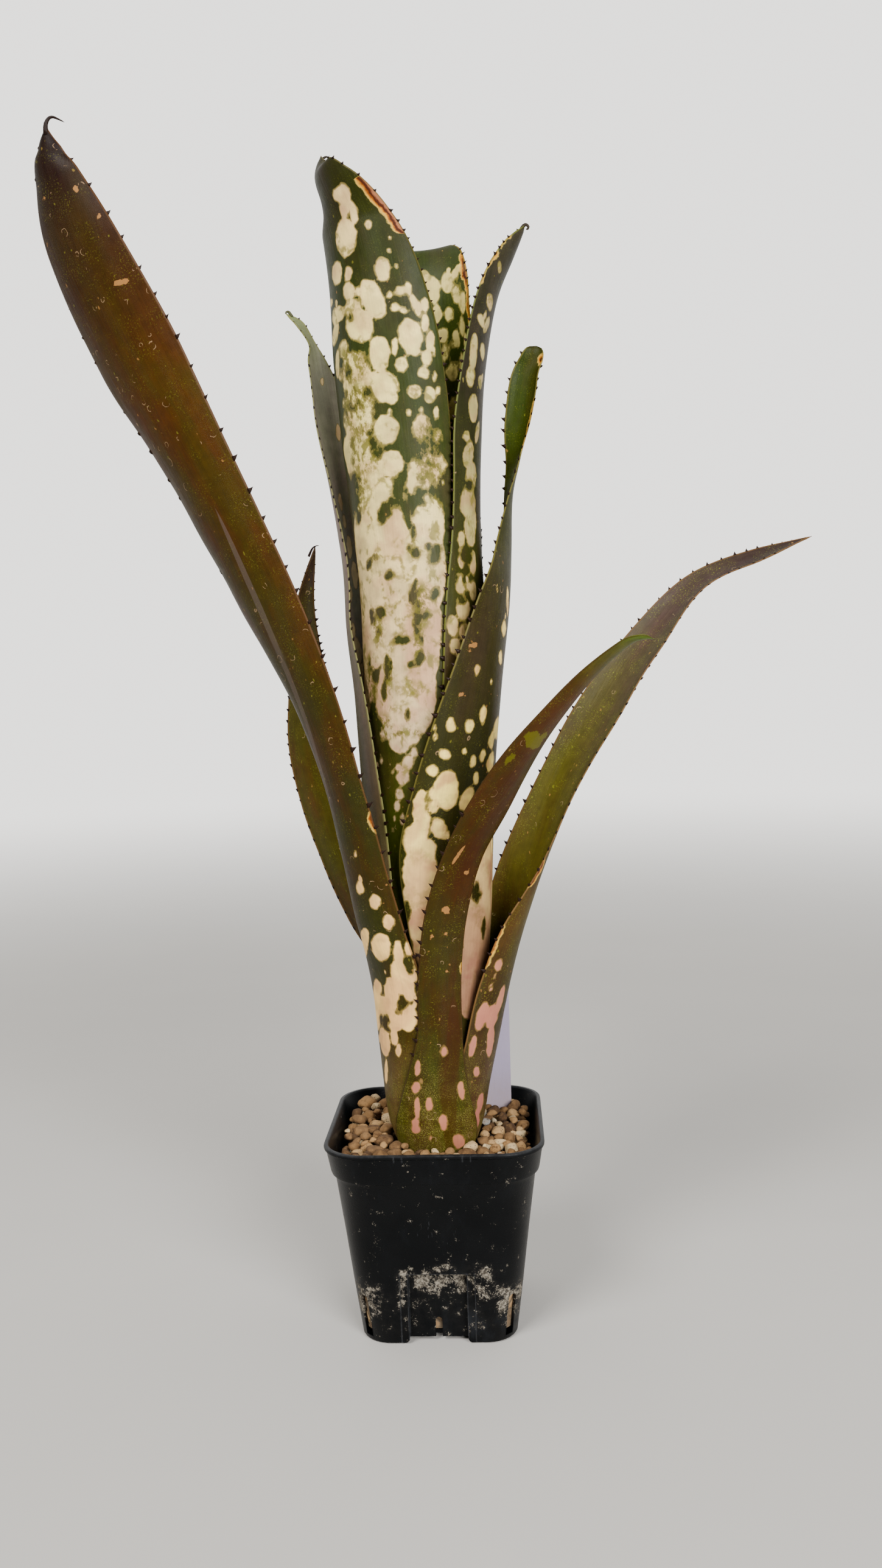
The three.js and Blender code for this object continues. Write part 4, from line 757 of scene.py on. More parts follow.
def pot_material():
    """Black moulded plastic with dust, scuffs and a crust of mineral deposits low down."""
    s = Shader(bpy.data.materials.new("pot_plastic"))
    at = s.place()
    x, y, z = s.split(s.scaled(at, (1000.0, 1000.0, 1000.0)))
    wide, deep = s.size(x), s.size(y)

    # Millimetres along the side that a point is on, the same on all four sides
    on_x = s.math("GREATER_THAN", deep, wide)
    along_x = s.times(s.times(x, s.math("SIGN", y)), -1.0)
    u = s.plus(s.times(on_x, along_x),
               s.times(s.rest(on_x), s.times(y, s.math("SIGN", x))))

    def patch(centre, half, low, high, soft=6.0):
        off = s.size(s.minus(u, centre))
        rise = s.size(s.minus(z, (low + high) / 2))
        return s.times(s.less(off, half - soft / 2, half + soft / 2),
                       s.less(rise, (high - low) / 2 - soft / 2, (high - low) / 2 + soft / 2))

    def patch_line(value, centre, half):
        return s.less(s.size(s.minus(value, centre)), half * 0.3, half)

    base = s.mix(s.patches(0.35, 0.7, at, 60.0, 4.0), srgb(3, 4, 5), srgb(6, 7, 8))
    film = s.patches(0.5, 0.78, s.scaled(at, (1.0, 1.0, 0.45)), 75.0, 5.0, 0.7)
    film = s.times(film, s.plus(0.25, s.times(s.less(z, 8.0, 24.0), 0.75)))
    colour = s.laid(base, srgb(36, 40, 46), film, 0.4)
    scratch = s.noise(s.scaled(at, (1.0, 1.0, 0.06)), 1500.0, 2.0, 0.6)
    scratch = s.times(s.smooth(scratch, 0.66, 0.74), s.patches(0.56, 0.66, at, 38.0, 2.0))
    colour = s.laid(colour, srgb(70, 72, 76), scratch, 0.35)

    # Deposits
    corner = s.times(s.smooth(s.plus(wide, deep), 55.5, 59.5),
                     s.times(s.smooth(z, 3.0, 14.0), s.less(z, 21.0, 29.0)))
    reach = s.most(patch(0.6, 11.4, 20.5, 31.4), patch(-14.2, 2.2, 16.0, 32.4, 4.0))
    reach = s.most(reach, s.times(patch(17.6, 5.4, 20.0, 34.0, 7.0), 0.95))
    reach = s.most(reach, s.times(patch(3.4, 4.6, 32.0, 35.4, 2.0), 0.7))
    reach = s.most(reach, s.times(corner, 0.9))
    reach = s.most(reach, s.times(patch(0.0, 24.0, 4.0, 22.0, 8.0), 0.2))
    fine = s.noise(at, 1700.0, 4.0, 0.75)
    coarse = s.noise(at, 230.0, 4.0, 0.68)
    level = s.plus(s.plus(s.times(fine, 0.7), s.times(coarse, 1.3)), s.times(reach, 0.3))
    crust = s.smooth(level, 1.2, 1.32)
    bloom = s.times(s.times(reach, s.smooth(coarse, 0.35, 0.6)), 0.16)
    speckled, (speck_random, speck_gate, _) = s.cells(at, 620.0)
    speck = s.smooth(s.minus(s.times(s.smooth(speck_random, 0.5, 1.0), 0.3), speckled), 0.0, 0.08)
    on_band = s.times(s.smooth(z, 72.0, 74.0), s.patches(0.53, 0.62, at, 60.0, 2.0))
    around = s.smooth(s.plus(reach, s.swing(coarse, 0.5, 1.2)), 0.1, 0.6)
    speck_share = s.plus(s.times(around, 0.34), s.plus(s.times(on_band, 0.5), 0.012))
    speck = s.times(speck, s.smooth(s.plus(speck_gate, speck_share), 0.97, 1.0))
    crust = s.most(crust, s.times(speck, 0.75))
    crust_tone = s.mix(s.patches(0.38, 0.62, at, 900.0, 4.0, 0.7),
                       srgb(58, 53, 46), srgb(142, 134, 120))
    colour = s.mix(bloom, colour, srgb(70, 66, 60))
    colour = s.laid(colour, crust_tone, crust, 0.85)
    # Edges painted lighter: the rim, and the sides and top of the panel, partly wear and partly a
    # painted highlight
    across = s.size(u)
    wear_and_painted_highlight = s.most(s.smooth(z, 82.6, 83.3), patch_line(across, PANEL_HALF, 0.5))
    wear_and_painted_highlight = s.most(wear_and_painted_highlight, patch_line(across, STEP_HALF, 0.4))
    low_down = s.less(z, 31.0, 32.0)
    wear_and_painted_highlight = s.most(s.times(wear_and_painted_highlight, s.most(low_down, s.smooth(z, 80.0, 81.0))),
                  s.times(patch_line(z, PANEL_TOP, 0.45), s.less(across, 12.4, 13.0)))
    wear_and_painted_highlight = s.times(wear_and_painted_highlight, s.plus(0.3, s.times(s.smooth(coarse, 0.35, 0.65), 0.5)))
    colour = s.mix(wear_and_painted_highlight, colour, srgb(42, 43, 45))
    height = s.plus(s.times(crust, 0.6), s.times(s.noise(at, 1500.0, 2.0), 0.4))
    normal = s.bump(height, 0.0002, 0.6)
    roughness = s.plus(s.plus(0.34, s.times(crust, 0.5)), s.times(film, 0.3))
    return s.finish(colour, roughness, normal, Specular_IOR_Level=0.1)


STONE_TONES = [
    (0.0, (56, 38, 22)), (0.14, (84, 60, 36)), (0.34, (116, 86, 52)), (0.48, (92, 68, 44)),
    (0.62, (140, 106, 66)), (0.78, (170, 138, 94)), (0.92, (188, 168, 130)), (1.0, (128, 128, 124)),
]


def stone_material():
    """Rounded gravel: a tone for each stone, mottled, with dark specks on the pale ones."""
    s = Shader(bpy.data.materials.new("gravel_stone"))
    at = s.place()
    kind, warmth, _ = s.split(s.attribute("stone"))
    tone = s.ramp(kind, [(share, srgb(*colour)) for share, colour in STONE_TONES])
    mottle = s.patches(0.42, 0.66, at, 420.0, 5.0, 0.65)
    colour = s.laid(tone, srgb(140, 106, 66), mottle, 0.4)
    stain = s.patches(0.5, 0.68, at, 600.0, 3.0)
    colour = s.mix(s.times(stain, s.times(warmth, 0.8)), colour, srgb(62, 38, 18))
    specks, (speck_random, _, _) = s.cells(at, 1500.0)
    speck = s.smooth(s.minus(s.times(speck_random, 0.34), specks), 0.0, 0.06)
    colour = s.mix(s.times(speck, s.smooth(kind, 0.5, 0.85)), colour, srgb(24, 20, 16))
    height = s.plus(s.times(s.noise(at, 900.0, 5.0, 0.65), 0.7), s.times(speck, -0.3))
    normal = s.bump(height, 0.0008, 0.8)
    return s.finish(colour, 0.88, normal, Specular_IOR_Level=0.25)


def soil_material():
    """The mass of small stones below the surface, as it shows through the slots."""
    s = Shader(bpy.data.materials.new("gravel_mass"))
    at = s.place()
    _, (kind, _, _) = s.cells(at, 210.0)
    edge = s.cells(at, 210.0, "DISTANCE_TO_EDGE")
    tone = s.ramp(kind, [(share, srgb(*colour)) for share, colour in STONE_TONES])
    # Painted shade in the gaps between the painted stones
    painted_gap_shade = s.less(edge, 0.02, 0.16)
    colour = s.mix(painted_gap_shade, tone, srgb(28, 20, 13))
    colour = s.mix(s.times(s.noise(at, 800.0, 4.0), 0.4), colour, srgb(170, 146, 112))
    height = s.plus(s.smooth(edge, 0.0, 0.3), s.times(s.noise(at, 900.0, 4.0), 0.3))
    return s.finish(colour, 0.9, s.bump(height, 0.0012, 0.9))


def stem_material():
    """The fibrous core that the sheaths are seated on."""
    s = Shader(bpy.data.materials.new("stem_core"))
    at = s.place()
    fibre = s.noise(s.scaled(at, (1.0, 1.0, 0.15)), 900.0, 3.0, 0.6)
    colour = s.mix(s.smooth(fibre, 0.35, 0.65), srgb(150, 138, 92), srgb(196, 186, 140))
    colour = s.mix(s.times(s.noise(at, 160.0, 4.0), 0.5), colour, srgb(116, 84, 48))
    return s.finish(colour, 0.7, s.bump(fibre, 0.0004, 0.7))


def label_material():
    """Thin white plastic with fine scuffs and a little dirt near the gravel."""
    s = Shader(bpy.data.materials.new("label_plastic"))
    at = s.place()
    _, _, z = s.split(at)
    colour = s.mix(s.noise(at, 45.0, 3.0), srgb(145, 135, 156), srgb(155, 146, 167))
    dirt = s.times(s.less(z, 0.074, 0.1), s.noise(at, 260.0, 5.0, 0.7))
    colour = s.laid(colour, srgb(150, 128, 104), dirt, 0.8)
    scuffs = s.noise(s.scaled(at, (1.0, 1.0, 0.1)), 1200.0, 3.0, 0.7)
    height = s.plus(scuffs, s.noise(at, 300.0, 2.0))
    roughness = s.plus(0.34, s.times(scuffs, 0.18))
    return s.finish(colour, roughness, s.bump(height, 0.00012, 0.4))


# --- Pieces -----------------------------------------------------------------------------------

def make_piece(name, points, faces, material, replaces, attributes=None):
    """A mesh in millimetres as a piece of the part, with vector attributes on its points."""
    mesh = bpy.data.meshes.new(name)
    mesh.from_pydata((np.asarray(points) * MM).tolist(), [], faces)
    for key, values in (attributes or {}).items():
        layer = mesh.attributes.new(key, "FLOAT_VECTOR", "POINT")
        layer.data.foreach_set("vector", np.asarray(values, np.float32).ravel())
    mesh.polygons.foreach_set("use_smooth", [True] * len(mesh.polygons))
    mesh.materials.append(material)
    mesh.update()
    piece = bpy.data.objects.new(name, mesh)
    bpy.context.scene.collection.objects.link(piece)
    settle(piece, replaces)


def settle(piece, node):
    """Stands the piece in for a CAD node: puts it on the part's one body and hides the node."""
    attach(piece, BODY)
    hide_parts(node)


# Leaves, in mm: steps of the grid, the part near the tip with closer rows and the last gap to it,
# thicknesses, how far the margin is rounded out, and the narrowest half width
ROW_STEP = 1.2
COLUMN_STEP = 1.15
TIP_ZONE = 6
LAST_GAP = 0.12
KEEL_THICKNESS = 0.75
MARGIN_THICKNESS = 0.5
MARGIN_BEAD = 0.16
LEAST_HALF_WIDTH = 0.15
# Rows near the tip, points of the finely divided keel, and a small step between two stations
TIP_ROWS = 8
FINE_STEPS = 4000
TANGENT_STEP = 1e-3


def stations_of(leaf):
    """Rows of x, y, z, half width, half turn, azimuth, and 1 where a row is square to the leaf."""
    heights, radii = zip(*NEST)
    rows = []
    for height, azimuth, turn in leaf["sheath"]:
        radius = np.interp(height, heights, radii) - leaf["layer"] * LAYER_PITCH
        angle = math.radians(azimuth)
        rows.append([radius * math.cos(angle), radius * math.sin(angle), height,
                     radius * math.radians(turn), turn, azimuth])
    level = leaf.get("level", len(rows))
    rows += leaf["blade"]
    return np.array([row + [0 if k < level else 1] for k, row in enumerate(rows)], float)


def along_stations(stations, t):
    """Smooth values through the stations, where station k lies at t = k."""
    last = len(stations) - 1
    k = np.clip(np.floor(t).astype(int), 0, last - 1)
    f = (t - k)[:, None]
    wide = np.vstack([2 * stations[0] - stations[1], stations, 2 * stations[-1] - stations[-2]])
    a, b, c, d = (wide[k + step] for step in range(4))
    return b + 0.5 * f * (c - a + f * (2 * a - 5 * b + 4 * c - d + f * (3 * (b - c) + d - a)))


def blade_surface(stations, t, v):
    """Points, normals towards the plant and outward directions at rows t and shares v."""
    rows = along_stations(stations, t)
    ahead = along_stations(stations, t + TANGENT_STEP)[:, :3]
    behind = along_stations(stations, np.maximum(0, t - TANGENT_STEP))[:, :3]
    square = np.clip(rows[:, 6:7], 0, 1)
    tangent = unit(np.array([0, 0, 1.0]) * (1 - square) + unit(ahead - behind) * square)
    face = np.radians(rows[:, 5])
    lean = np.stack([-np.cos(face), -np.sin(face), np.ones(len(t))], 1)
    inward = unit(lean - (lean * tangent).sum(1, keepdims=True) * tangent)
    across = np.cross(inward, tangent)
    curl = np.radians(np.maximum(rows[:, 4:5], 1))
    angle = (curl * v)[:, :, None]
    reach = (rows[:, 3:4] / curl)[:, :, None]
    across, inward = across[:, None, :], inward[:, None, :]
    points = rows[:, None, :3] + across * reach * np.sin(angle)
    points = points + inward * reach * (1 - np.cos(angle))
    normals = inward * np.cos(angle) - across * np.sin(angle)
    outwards = (across * np.cos(angle) + inward * np.sin(angle)) * np.sign(v)[None, :, None]
    return points, normals, outwards, rows[:, 3]


NOWHERE = -30  # the depth of a place far outside every spot, in mm


def ellipse_depth(across, along, spots):
    """How deep each place lies in the nearest of the spots, in mm; negative outside."""
    depth = np.full(across.shape, float(NOWHERE))
    for centre, at, half_width, half_length, tilt in spots:
        angle = math.radians(tilt)
        u, w = across - centre, along - at
        a = (u * math.cos(angle) - w * math.sin(angle)) / half_width
        b = (u * math.sin(angle) + w * math.cos(angle)) / half_length
        radius = np.maximum(np.hypot(a, b), 1e-6)
        scale = np.hypot(u, w) / radius
        scale = np.where(radius < 1e-3, min(half_width, half_length), scale)
        depth = np.maximum(depth, (1 - radius) * np.maximum(scale, 0.3))
    return depth


def leaf_fields(name, across, along, rim, first, total, columns):
    """The attributes of leaf_material on a ring of places per row, and their values elsewhere."""
    spots = SPOTS.get(name, {})

    def depth(kind):
        return ellipse_depth(across, along, spots.get(kind, []))

    green = depth("green")
    cream = np.clip(np.minimum(depth("cream"), -green), -12, 2.2)
    moss = np.clip(depth("moss") / 4, 0, 1)
    moss = np.maximum(moss, 0.5 * np.clip((green + 2.5) / 3, 0, 1))
    dead = depth("dead")
    for side, start, end, width in BURNS.get(name, []):
        ends = np.minimum(along - start, end - along)
        strip = width - rim - 2.5 * (1 - np.clip(ends / 5, 0, 1)) ** 2
        dead = np.maximum(dead, np.where((np.sign(across) == side) & (ends > 0), strip, NOWHERE))
    inner = np.zeros(across.shape[1])
    inner[columns + 2:2 * columns + 3] = 1

    def flatten(*fields):
        return np.stack([np.broadcast_to(f, across.shape).ravel() for f in fields], 1)

    return {
        "place": (flatten(across / 10, along / 10, rim / 10), [0, (total + first) / 10, 0.2]),
        "mark": (flatten(cream, moss, dead), [NOWHERE, 0, NOWHERE]),
        "run": (flatten((along - first) / total, depth("scar"), 0.0), [1, NOWHERE, 0]),
        "tint": (flatten(depth("pale"), depth("brown"), inner), [NOWHERE, NOWHERE, 0]),
        # Depths into the painted shade, the rosy places and the painted sheen
        "cast": (flatten(depth("dim"), depth("rose"), depth("painted_sheen")), [NOWHERE] * 3),
    }


def make_leaf(leaf, seed):
    """A leaf as one closed mesh: sheath and blade, thorns, and a curled tip where it has one."""
    name = leaf["name"]
    rng = np.random.default_rng(seed)
    stations = stations_of(leaf)
    last = len(stations) - 1

    # Rows at even steps along the keel, closer near the tip
    fine = np.linspace(0, last, FINE_STEPS)
    keel = along_stations(stations, fine)[:, :3]
    length = np.r_[0, np.cumsum(np.linalg.norm(np.diff(keel, axis=0), axis=1))]
    total = length[-1]
    steps = np.arange(0, total - TIP_ZONE, ROW_STEP)
    ends = total - TIP_ZONE * (1 - np.linspace(0, 1, TIP_ROWS + 1)[:-1]) ** 1.5
    goals = np.r_[steps[steps < ends[0] - 0.4], ends, total - LAST_GAP]
    t = np.interp(goals, length, fine)
    half_widths = along_stations(stations, fine)[:, 3]
    columns = 2 * int(math.ceil(half_widths.max() / COLUMN_STEP))
    v = np.linspace(-1, 1, columns + 1)
    points, normals, outwards, widths = blade_surface(stations, t, v)
    widths = np.maximum(widths, LEAST_HALF_WIDTH)
    first = stations[0, 2]
    along = np.repeat((goals + first)[:, None], columns + 1, 1)
    across = widths[:, None] * v

    # Slight unevenness of the blade, strongest at the margins of the free part
    phase = rng.uniform(0, 2 * math.pi, 6)
    free = np.clip((along - first - 100) / 150, 0, 1)
    ripple = (np.sin(along / 9.0 + phase[0] + across / 14) + np.sin(along / 23.0 + phase[1])
              + 0.6 * np.sin(along / 5.1 + phase[2] - across / 8))
    edge_share = np.abs(v)[None, :] ** 3
    points = points + normals * ((0.03 + 0.16 * free * edge_share) * ripple)[:, :, None]

    thickness = KEEL_THICKNESS + (MARGIN_THICKNESS - KEEL_THICKNESS) * v ** 2
    fade = np.clip((total - goals) / 3, 0.25, 1)
    half = 0.5 * thickness[None, :, None] * fade[:, None, None]
    back, front = points - normals * half, points + normals * half

    # Grid: the back from margin to margin, a rounded margin, the front, the other margin
    bead = MARGIN_BEAD * fade[:, None]
    ring = np.concatenate([
        back, (points[:, -1] + outwards[:, -1] * bead)[:, None],
        front[:, ::-1], (points[:, 0] + outwards[:, 0] * bead)[:, None],
    ], 1)
    ring_across = np.concatenate([across, across[:, -1:], across[:, ::-1], across[:, :1]], 1)
    ring_along = np.repeat(along[:, :1], ring.shape[1], 1)
    rim = widths[:, None] - np.abs(ring_across)
    rows, count = ring.shape[:2]
    vertices = ring.reshape(-1, 3)
    index = np.arange(rows * count).reshape(rows, count)
    a, b = index[:-1], index[1:]
    quads = np.stack([a, np.roll(a, -1, 1), np.roll(b, -1, 1), b], -1).reshape(-1, 4)
    faces = quads.tolist()
    tip = len(vertices)
    vertices = np.vstack([vertices, stations[-1, :3]])
    faces += [[int(index[-1, k]), int(index[-1, (k + 1) % count]), tip] for k in range(count)]
    lids = [[int(index[0, k]), int(index[0, count - 2 - k]), int(index[0, count - 3 - k]),
             int(index[0, k + 1])] for k in range(columns)]
    faces += lids
    faces += [[int(index[0, 0]), int(index[0, -1]), int(index[0, count - 2])],
              [int(index[0, columns]), int(index[0, columns + 2]), int(index[0, columns + 1])]]

    fields = leaf_fields(name, ring_across, ring_along, rim, first, total, columns)

    # Thorns along both margins, and the curled tip
    horns = Horns(len(vertices))
    add_thorns(horns, name, stations, length, fine, rng)
    if name in TIPS:
        add_curl(horns, *TIPS[name])
    vertices = np.vstack([vertices, horns.points])
    faces += horns.faces
    attributes = {}
    for key, (values, spare) in fields.items():
        rest = np.tile(np.array(spare, float), (len(vertices) - len(values), 1))
        if key == "run":
            rest[1:, 2] = horns.darkness
        attributes[key] = np.vstack([values, rest])
    material = leaf_material(name + "_tissue", LOOKS[name], first, total, seed)
    make_piece(name + "_blade", vertices, faces, material, name, attributes)


# Thorn sections: (share of the length, half width, half thickness)
THORN_PROFILE = [(-0.18, 1.0, 0.2), (0.18, 0.72, 0.16), (0.5, 0.42, 0.1), (0.8, 0.16, 0.05)]
THORN_DARKNESS = 0.4
TIP_DARKNESS = 0.22
# The half width of a blade, in mm, up to which it bears no thorns
LEAST_THORNY = 1.2


class Horns:
    """Six-sided pointed solids, gathered into lists of points and faces."""

    def __init__(self, start):
        self.start = start
        self.points, self.faces, self.darkness = [], [], []

    def add(self, rings, tip):
        low = self.start + len(self.points)
        for centre, wide, deep, dark in rings:
            for corner in range(6):
                angle = corner * math.pi / 3
                self.points.append(centre + wide * math.cos(angle) + deep * math.sin(angle))
                self.darkness.append(dark)
        self.points.append(tip)
        self.darkness.append(rings[-1][3])
        steps = [(corner, (corner + 1) % 6) for corner in range(6)]
        for level in range(len(rings) - 1):
            base = low + 6 * level
            self.faces += [[base + a, base + b, base + 6 + b, base + 6 + a] for a, b in steps]
        top = low + 6 * (len(rings) - 1)
        self.faces += [[top + a, top + b, top + 6] for a, b in steps]
        self.faces.append([low + corner for corner in range(5, -1, -1)])


def add_thorns(horns, name, stations, length, fine, rng):
    """Thorns that lean towards the tip, smaller where the blade is narrow."""
    total, first = length[-1], stations[0, 2]
    left_from, right_from, low_pitch, tip_pitch, bulk, bare_from = THORNS.get(name, USUAL_THORNS)
    thorns_end = min(total - BARE_TIP, bare_from - first)
    for side, start in ((0, left_from), (1, right_from)):
        at = max(0.0, start - first)
        while at < thorns_end:
            spot_t = np.interp([at, at + 0.6], length, fine)
            closeness = at / total
            p, n, o, w = blade_surface(stations, spot_t, np.array([-1.0, 1.0]))
            size = bulk * (2.1 - 0.8 * closeness) * rng.uniform(0.8, 1.15) * min(1, 0.3 + w[0] / 8)
            base = size * rng.uniform(0.48, 0.6)
            lean = size * rng.uniform(0.3, 0.6)
            if w[0] > LEAST_THORNY:
                root, out, up = p[0, side], o[0, side], unit(p[1, side] - p[0, side])
                rings = [(root + out * size * s_at + up * lean * max(s_at, 0) ** 1.6,
                          up * base * wide, n[0, side] * thick * size, THORN_DARKNESS)
                         for s_at, wide, thick in THORN_PROFILE]
                horns.add(rings, root + out * size + up * lean)
            pitch = low_pitch + (tip_pitch - low_pitch) * closeness ** 1.3
            at += pitch * rng.uniform(0.75, 1.25)


CURL_RINGS = 14


def add_curl(horns, path, thick, thin):
    """A tapering hook along a path, flatter across its own plane."""
    path = along_stations(np.array(path, float), np.linspace(0, len(path) - 1, CURL_RINGS))
    ahead = np.gradient(path, axis=0)
    sideways = unit(np.cross(ahead, [0, 1.0, 0]))
    deep = unit(np.cross(sideways, ahead))
    rings = []
    for k, centre in enumerate(path[:-1]):
        half = 0.5 * (thick + (thin - thick) * k / (CURL_RINGS - 2))
        rings.append((centre, sideways[k] * half, deep[k] * half * 0.7, TIP_DARKNESS))
    horns.add(rings, path[-1])


# Sides of a rounded corner of the pot
CORNER_SEGMENTS = 14


def rounded_square(height, half, corner):
    """A level ring with half the width `half` and the corner radius `corner`."""
    points = []
    for quarter in range(4):
        sign_x = 1 if quarter in (0, 3) else -1
        sign_y = 1 if quarter < 2 else -1
        for k in range(CORNER_SEGMENTS + 1):
            angle = (quarter + k / CORNER_SEGMENTS) * math.pi / 2
            points.append((sign_x * (half - corner) + corner * math.cos(angle),
                           sign_y * (half - corner) + corner * math.sin(angle), height))
    return points


def loft_object(name, levels):
    return join_rings(name, [rounded_square(*level) for level in levels])


def join_rings(name, rings):
    """A solid through rings of as many points each, closed at both ends."""
    count = len(rings[0])
    points = [point for ring in rings for point in ring]
    faces = [list(range(count))[::-1], [len(points) - count + k for k in range(count)]]
    for i in range(len(rings) - 1):
        for k in range(count):
            low, nxt = i * count + k, i * count + (k + 1) % count
            faces.append([low, nxt, nxt + count, low + count])
    return plain_object(name, points, faces)


def prism_object(name, outline, near, far, turn):
    """An outline in the XZ plane, drawn out along Y from near to far, turned about Z."""
    count = len(outline)
    points = [(x, y, z) for y in (near, far) for x, z in outline]
    faces = [list(range(count)), [count + k for k in range(count)][::-1]]
    faces += [[k, k + count, (k + 1) % count + count, (k + 1) % count] for k in range(count)]
    spin = Matrix.Rotation(turn, 3, "Z")
    return plain_object(name, [tuple(spin @ Vector(point)) for point in points], faces)


def plain_object(name, points, faces):
    """An object from points in mm, with its faces turned outwards."""
    mesh = bpy.data.meshes.new(name)
    mesh.from_pydata([tuple(c * MM for c in point) for point in points], [], faces)
    shell = bmesh.new()
    shell.from_mesh(mesh)
    bmesh.ops.recalc_face_normals(shell, faces=shell.faces)
    shell.to_mesh(mesh)
    shell.free()
    item = bpy.data.objects.new(name, mesh)
    bpy.context.scene.collection.objects.link(item)
    return item


def cut(target, tools):
    """Takes the tools away from the target, and removes them."""
    for tool in tools:
        step = target.modifiers.new("cut", "BOOLEAN")
        step.operation = "DIFFERENCE"
        step.solver = "EXACT"
        step.object = tool
    bake(target)
    for tool in tools:
        bpy.data.objects.remove(tool)


def bake(item):
    """Applies the item's modifiers to its mesh."""
    graph = bpy.context.evaluated_depsgraph_get()
    mesh = bpy.data.meshes.new_from_object(item.evaluated_get(graph))
    item.modifiers.clear()
    item.data = mesh


def box_outline(half_width, low, high, radius=0.0):
    """A box from low to high, its upper corners rounded by a radius."""
    if not radius:
        return [(-half_width, low), (half_width, low), (half_width, high), (-half_width, high)]
    outline = [(-half_width, low), (half_width, low)]
    for side, start in ((1, 0), (-1, 1)):
        for k in range(7):
            angle = (start + k / 6) * math.pi / 2
            outline.append((side * (half_width - radius) + radius * math.cos(angle),
                            high - radius + radius * math.sin(angle)))
    return outline


def add_bevel(item, width, degrees):
    bevel = item.modifiers.new("edge", "BEVEL")
    bevel.width = width
    bevel.segments = 2
    bevel.limit_method = "ANGLE"
    bevel.angle_limit = math.radians(degrees)
    return bevel


# The pot in mm. A level is (height, half width, corner radius). The body tapers from the shoulder
# below the rim band to the foot, which is drawn in as (height, by how much), and so is the waist.
SHOULDER = (70.9, 41.4, 19)
FOOT = (0, 32.2, 12.7)
FOOT_ROUND = [(0, 0.9), (0.25, 0.35), (0.8, 0.05)]
WAIST = (46, 0.12)
BAND_AND_LIP = [
    (70.6, 42.0, 19), (70.9, 42.6, 19), (72.2, 42.9, 18.8), (80.9, 44.15, 17.6),
    (81.5, 44.3, 17.4), (81.9, 44.85, 17.4), (82.7, 45, 17.4), (83.3, 44.85, 17.3),
    (83.5, 44.4, 17.0),
]
POT_WALL = 1.3
HOLLOW = [
    (3.4, 32.6 - POT_WALL, 11.4), (26, 34.4, 13.6), (68.9, 39.8, 17.6), (71.5, 40.9, 17.6),
    (82.9, 43, 16.2), (83.6, 43.6, 16.6),
]
PANEL_DEPTH = 2.6
HOLE_RADIUS = 3.2
HOLE_PLACE = 22
NOTCH = [
    (-14.6, -1), (14.6, -1), (14.6, 0), (13.4, 0.2), (12.6, 0.8), (12.0, 1.8), (-12.0, 1.8),
    (-12.6, 0.8), (-13.4, 0.2), (-14.6, 0),
]
POT_BEVEL = 0.35


def body_level(height, drawn_in=0):
    share = height / SHOULDER[0]
    half = FOOT[1] + (SHOULDER[1] - FOOT[1]) * share - drawn_in
    corner = FOOT[2] + (SHOULDER[2] - FOOT[2]) * share - drawn_in
    return (height, half, max(corner, 2))


def drain_hole(x, y):
    rim = [(HOLE_RADIUS * math.cos(k * math.pi / 12), HOLE_RADIUS * math.sin(k * math.pi / 12))
           for k in range(24)]
    points = [(x + a, y + b, z) for z in (-1, 4.6) for a, b in rim]
    faces = [list(range(24)), [24 + k for k in range(24)][::-1]]
    faces += [[k, (k + 1) % 24, (k + 1) % 24 + 24, k + 24] for k in range(24)]
    return plain_object("hole", points, faces)


def make_pot():
    """The pot: a tapered shell with panels, slots, notches and drain holes, rounded all over."""
    levels = [body_level(*place) for place in FOOT_ROUND]
    levels += [body_level(24), body_level(*WAIST), body_level(68.5)]
    outer = loft_object("pot_shell", levels + BAND_AND_LIP)
    inner = loft_object("pot_hollow", HOLLOW)
    turns = [side * math.pi / 2 for side in range(4)]
    panel_floor = -FOOT[1] + PANEL_DEPTH
    recesses = []
    for turn in turns:
        step = box_outline(STEP_HALF, -1, 30.6, 3.0)
        recesses.append(prism_object("step", step, -40, -33.35, turn))
        panel = box_outline(PANEL_HALF, -1, PANEL_TOP, 0.8)
        recesses.append(prism_object("panel", panel, -40, panel_floor, turn))
    cut(outer, recesses)
    pad = box_outline(16.6, -2, 32.3)
    cut(inner, [prism_object("pad", pad, -40, panel_floor + POT_WALL, turn) for turn in turns])
    cut(outer, [inner])
    tools = []
    for turn in turns:
        tools.append(prism_object("notch", NOTCH, -46, -17, turn))
        tools.append(prism_object("drain", box_outline(1.4, -1, 10, 1.2), -33, -26.6, turn))
        corner_slot = box_outline(2.0, 2.2, 20, 1.6)
        tools.append(prism_object("slot", corner_slot, -44, -35, turn + math.pi / 4))
        tools.append(drain_hole(HOLE_PLACE * math.cos(turn), HOLE_PLACE * math.sin(turn)))
    cut(outer, tools)
    add_bevel(outer, POT_BEVEL * MM, 38).use_clamp_overlap = True
    bake(outer)
    smooth_by_angle(outer.data, 32)
    outer.data.materials.append(pot_material())
    outer.name = "pot_plastic_shell"
    settle(outer, "pot")


def smooth_by_angle(mesh, degrees):
    shell = bmesh.new()
    shell.from_mesh(mesh)
    for face in shell.faces:
        face.smooth = True
    for edge in shell.edges:
        edge.smooth = len(edge.link_faces) == 2 and edge.calc_face_angle(0) < math.radians(degrees)
    shell.to_mesh(mesh)
    shell.free()


def icosphere(level):
    shell = bmesh.new()
    bmesh.ops.create_icosphere(shell, subdivisions=level, radius=1.0)
    points = np.array([vertex.co for vertex in shell.verts])
    faces = np.array([[vertex.index for vertex in face.verts] for face in shell.faces])
    shell.free()
    return points, faces


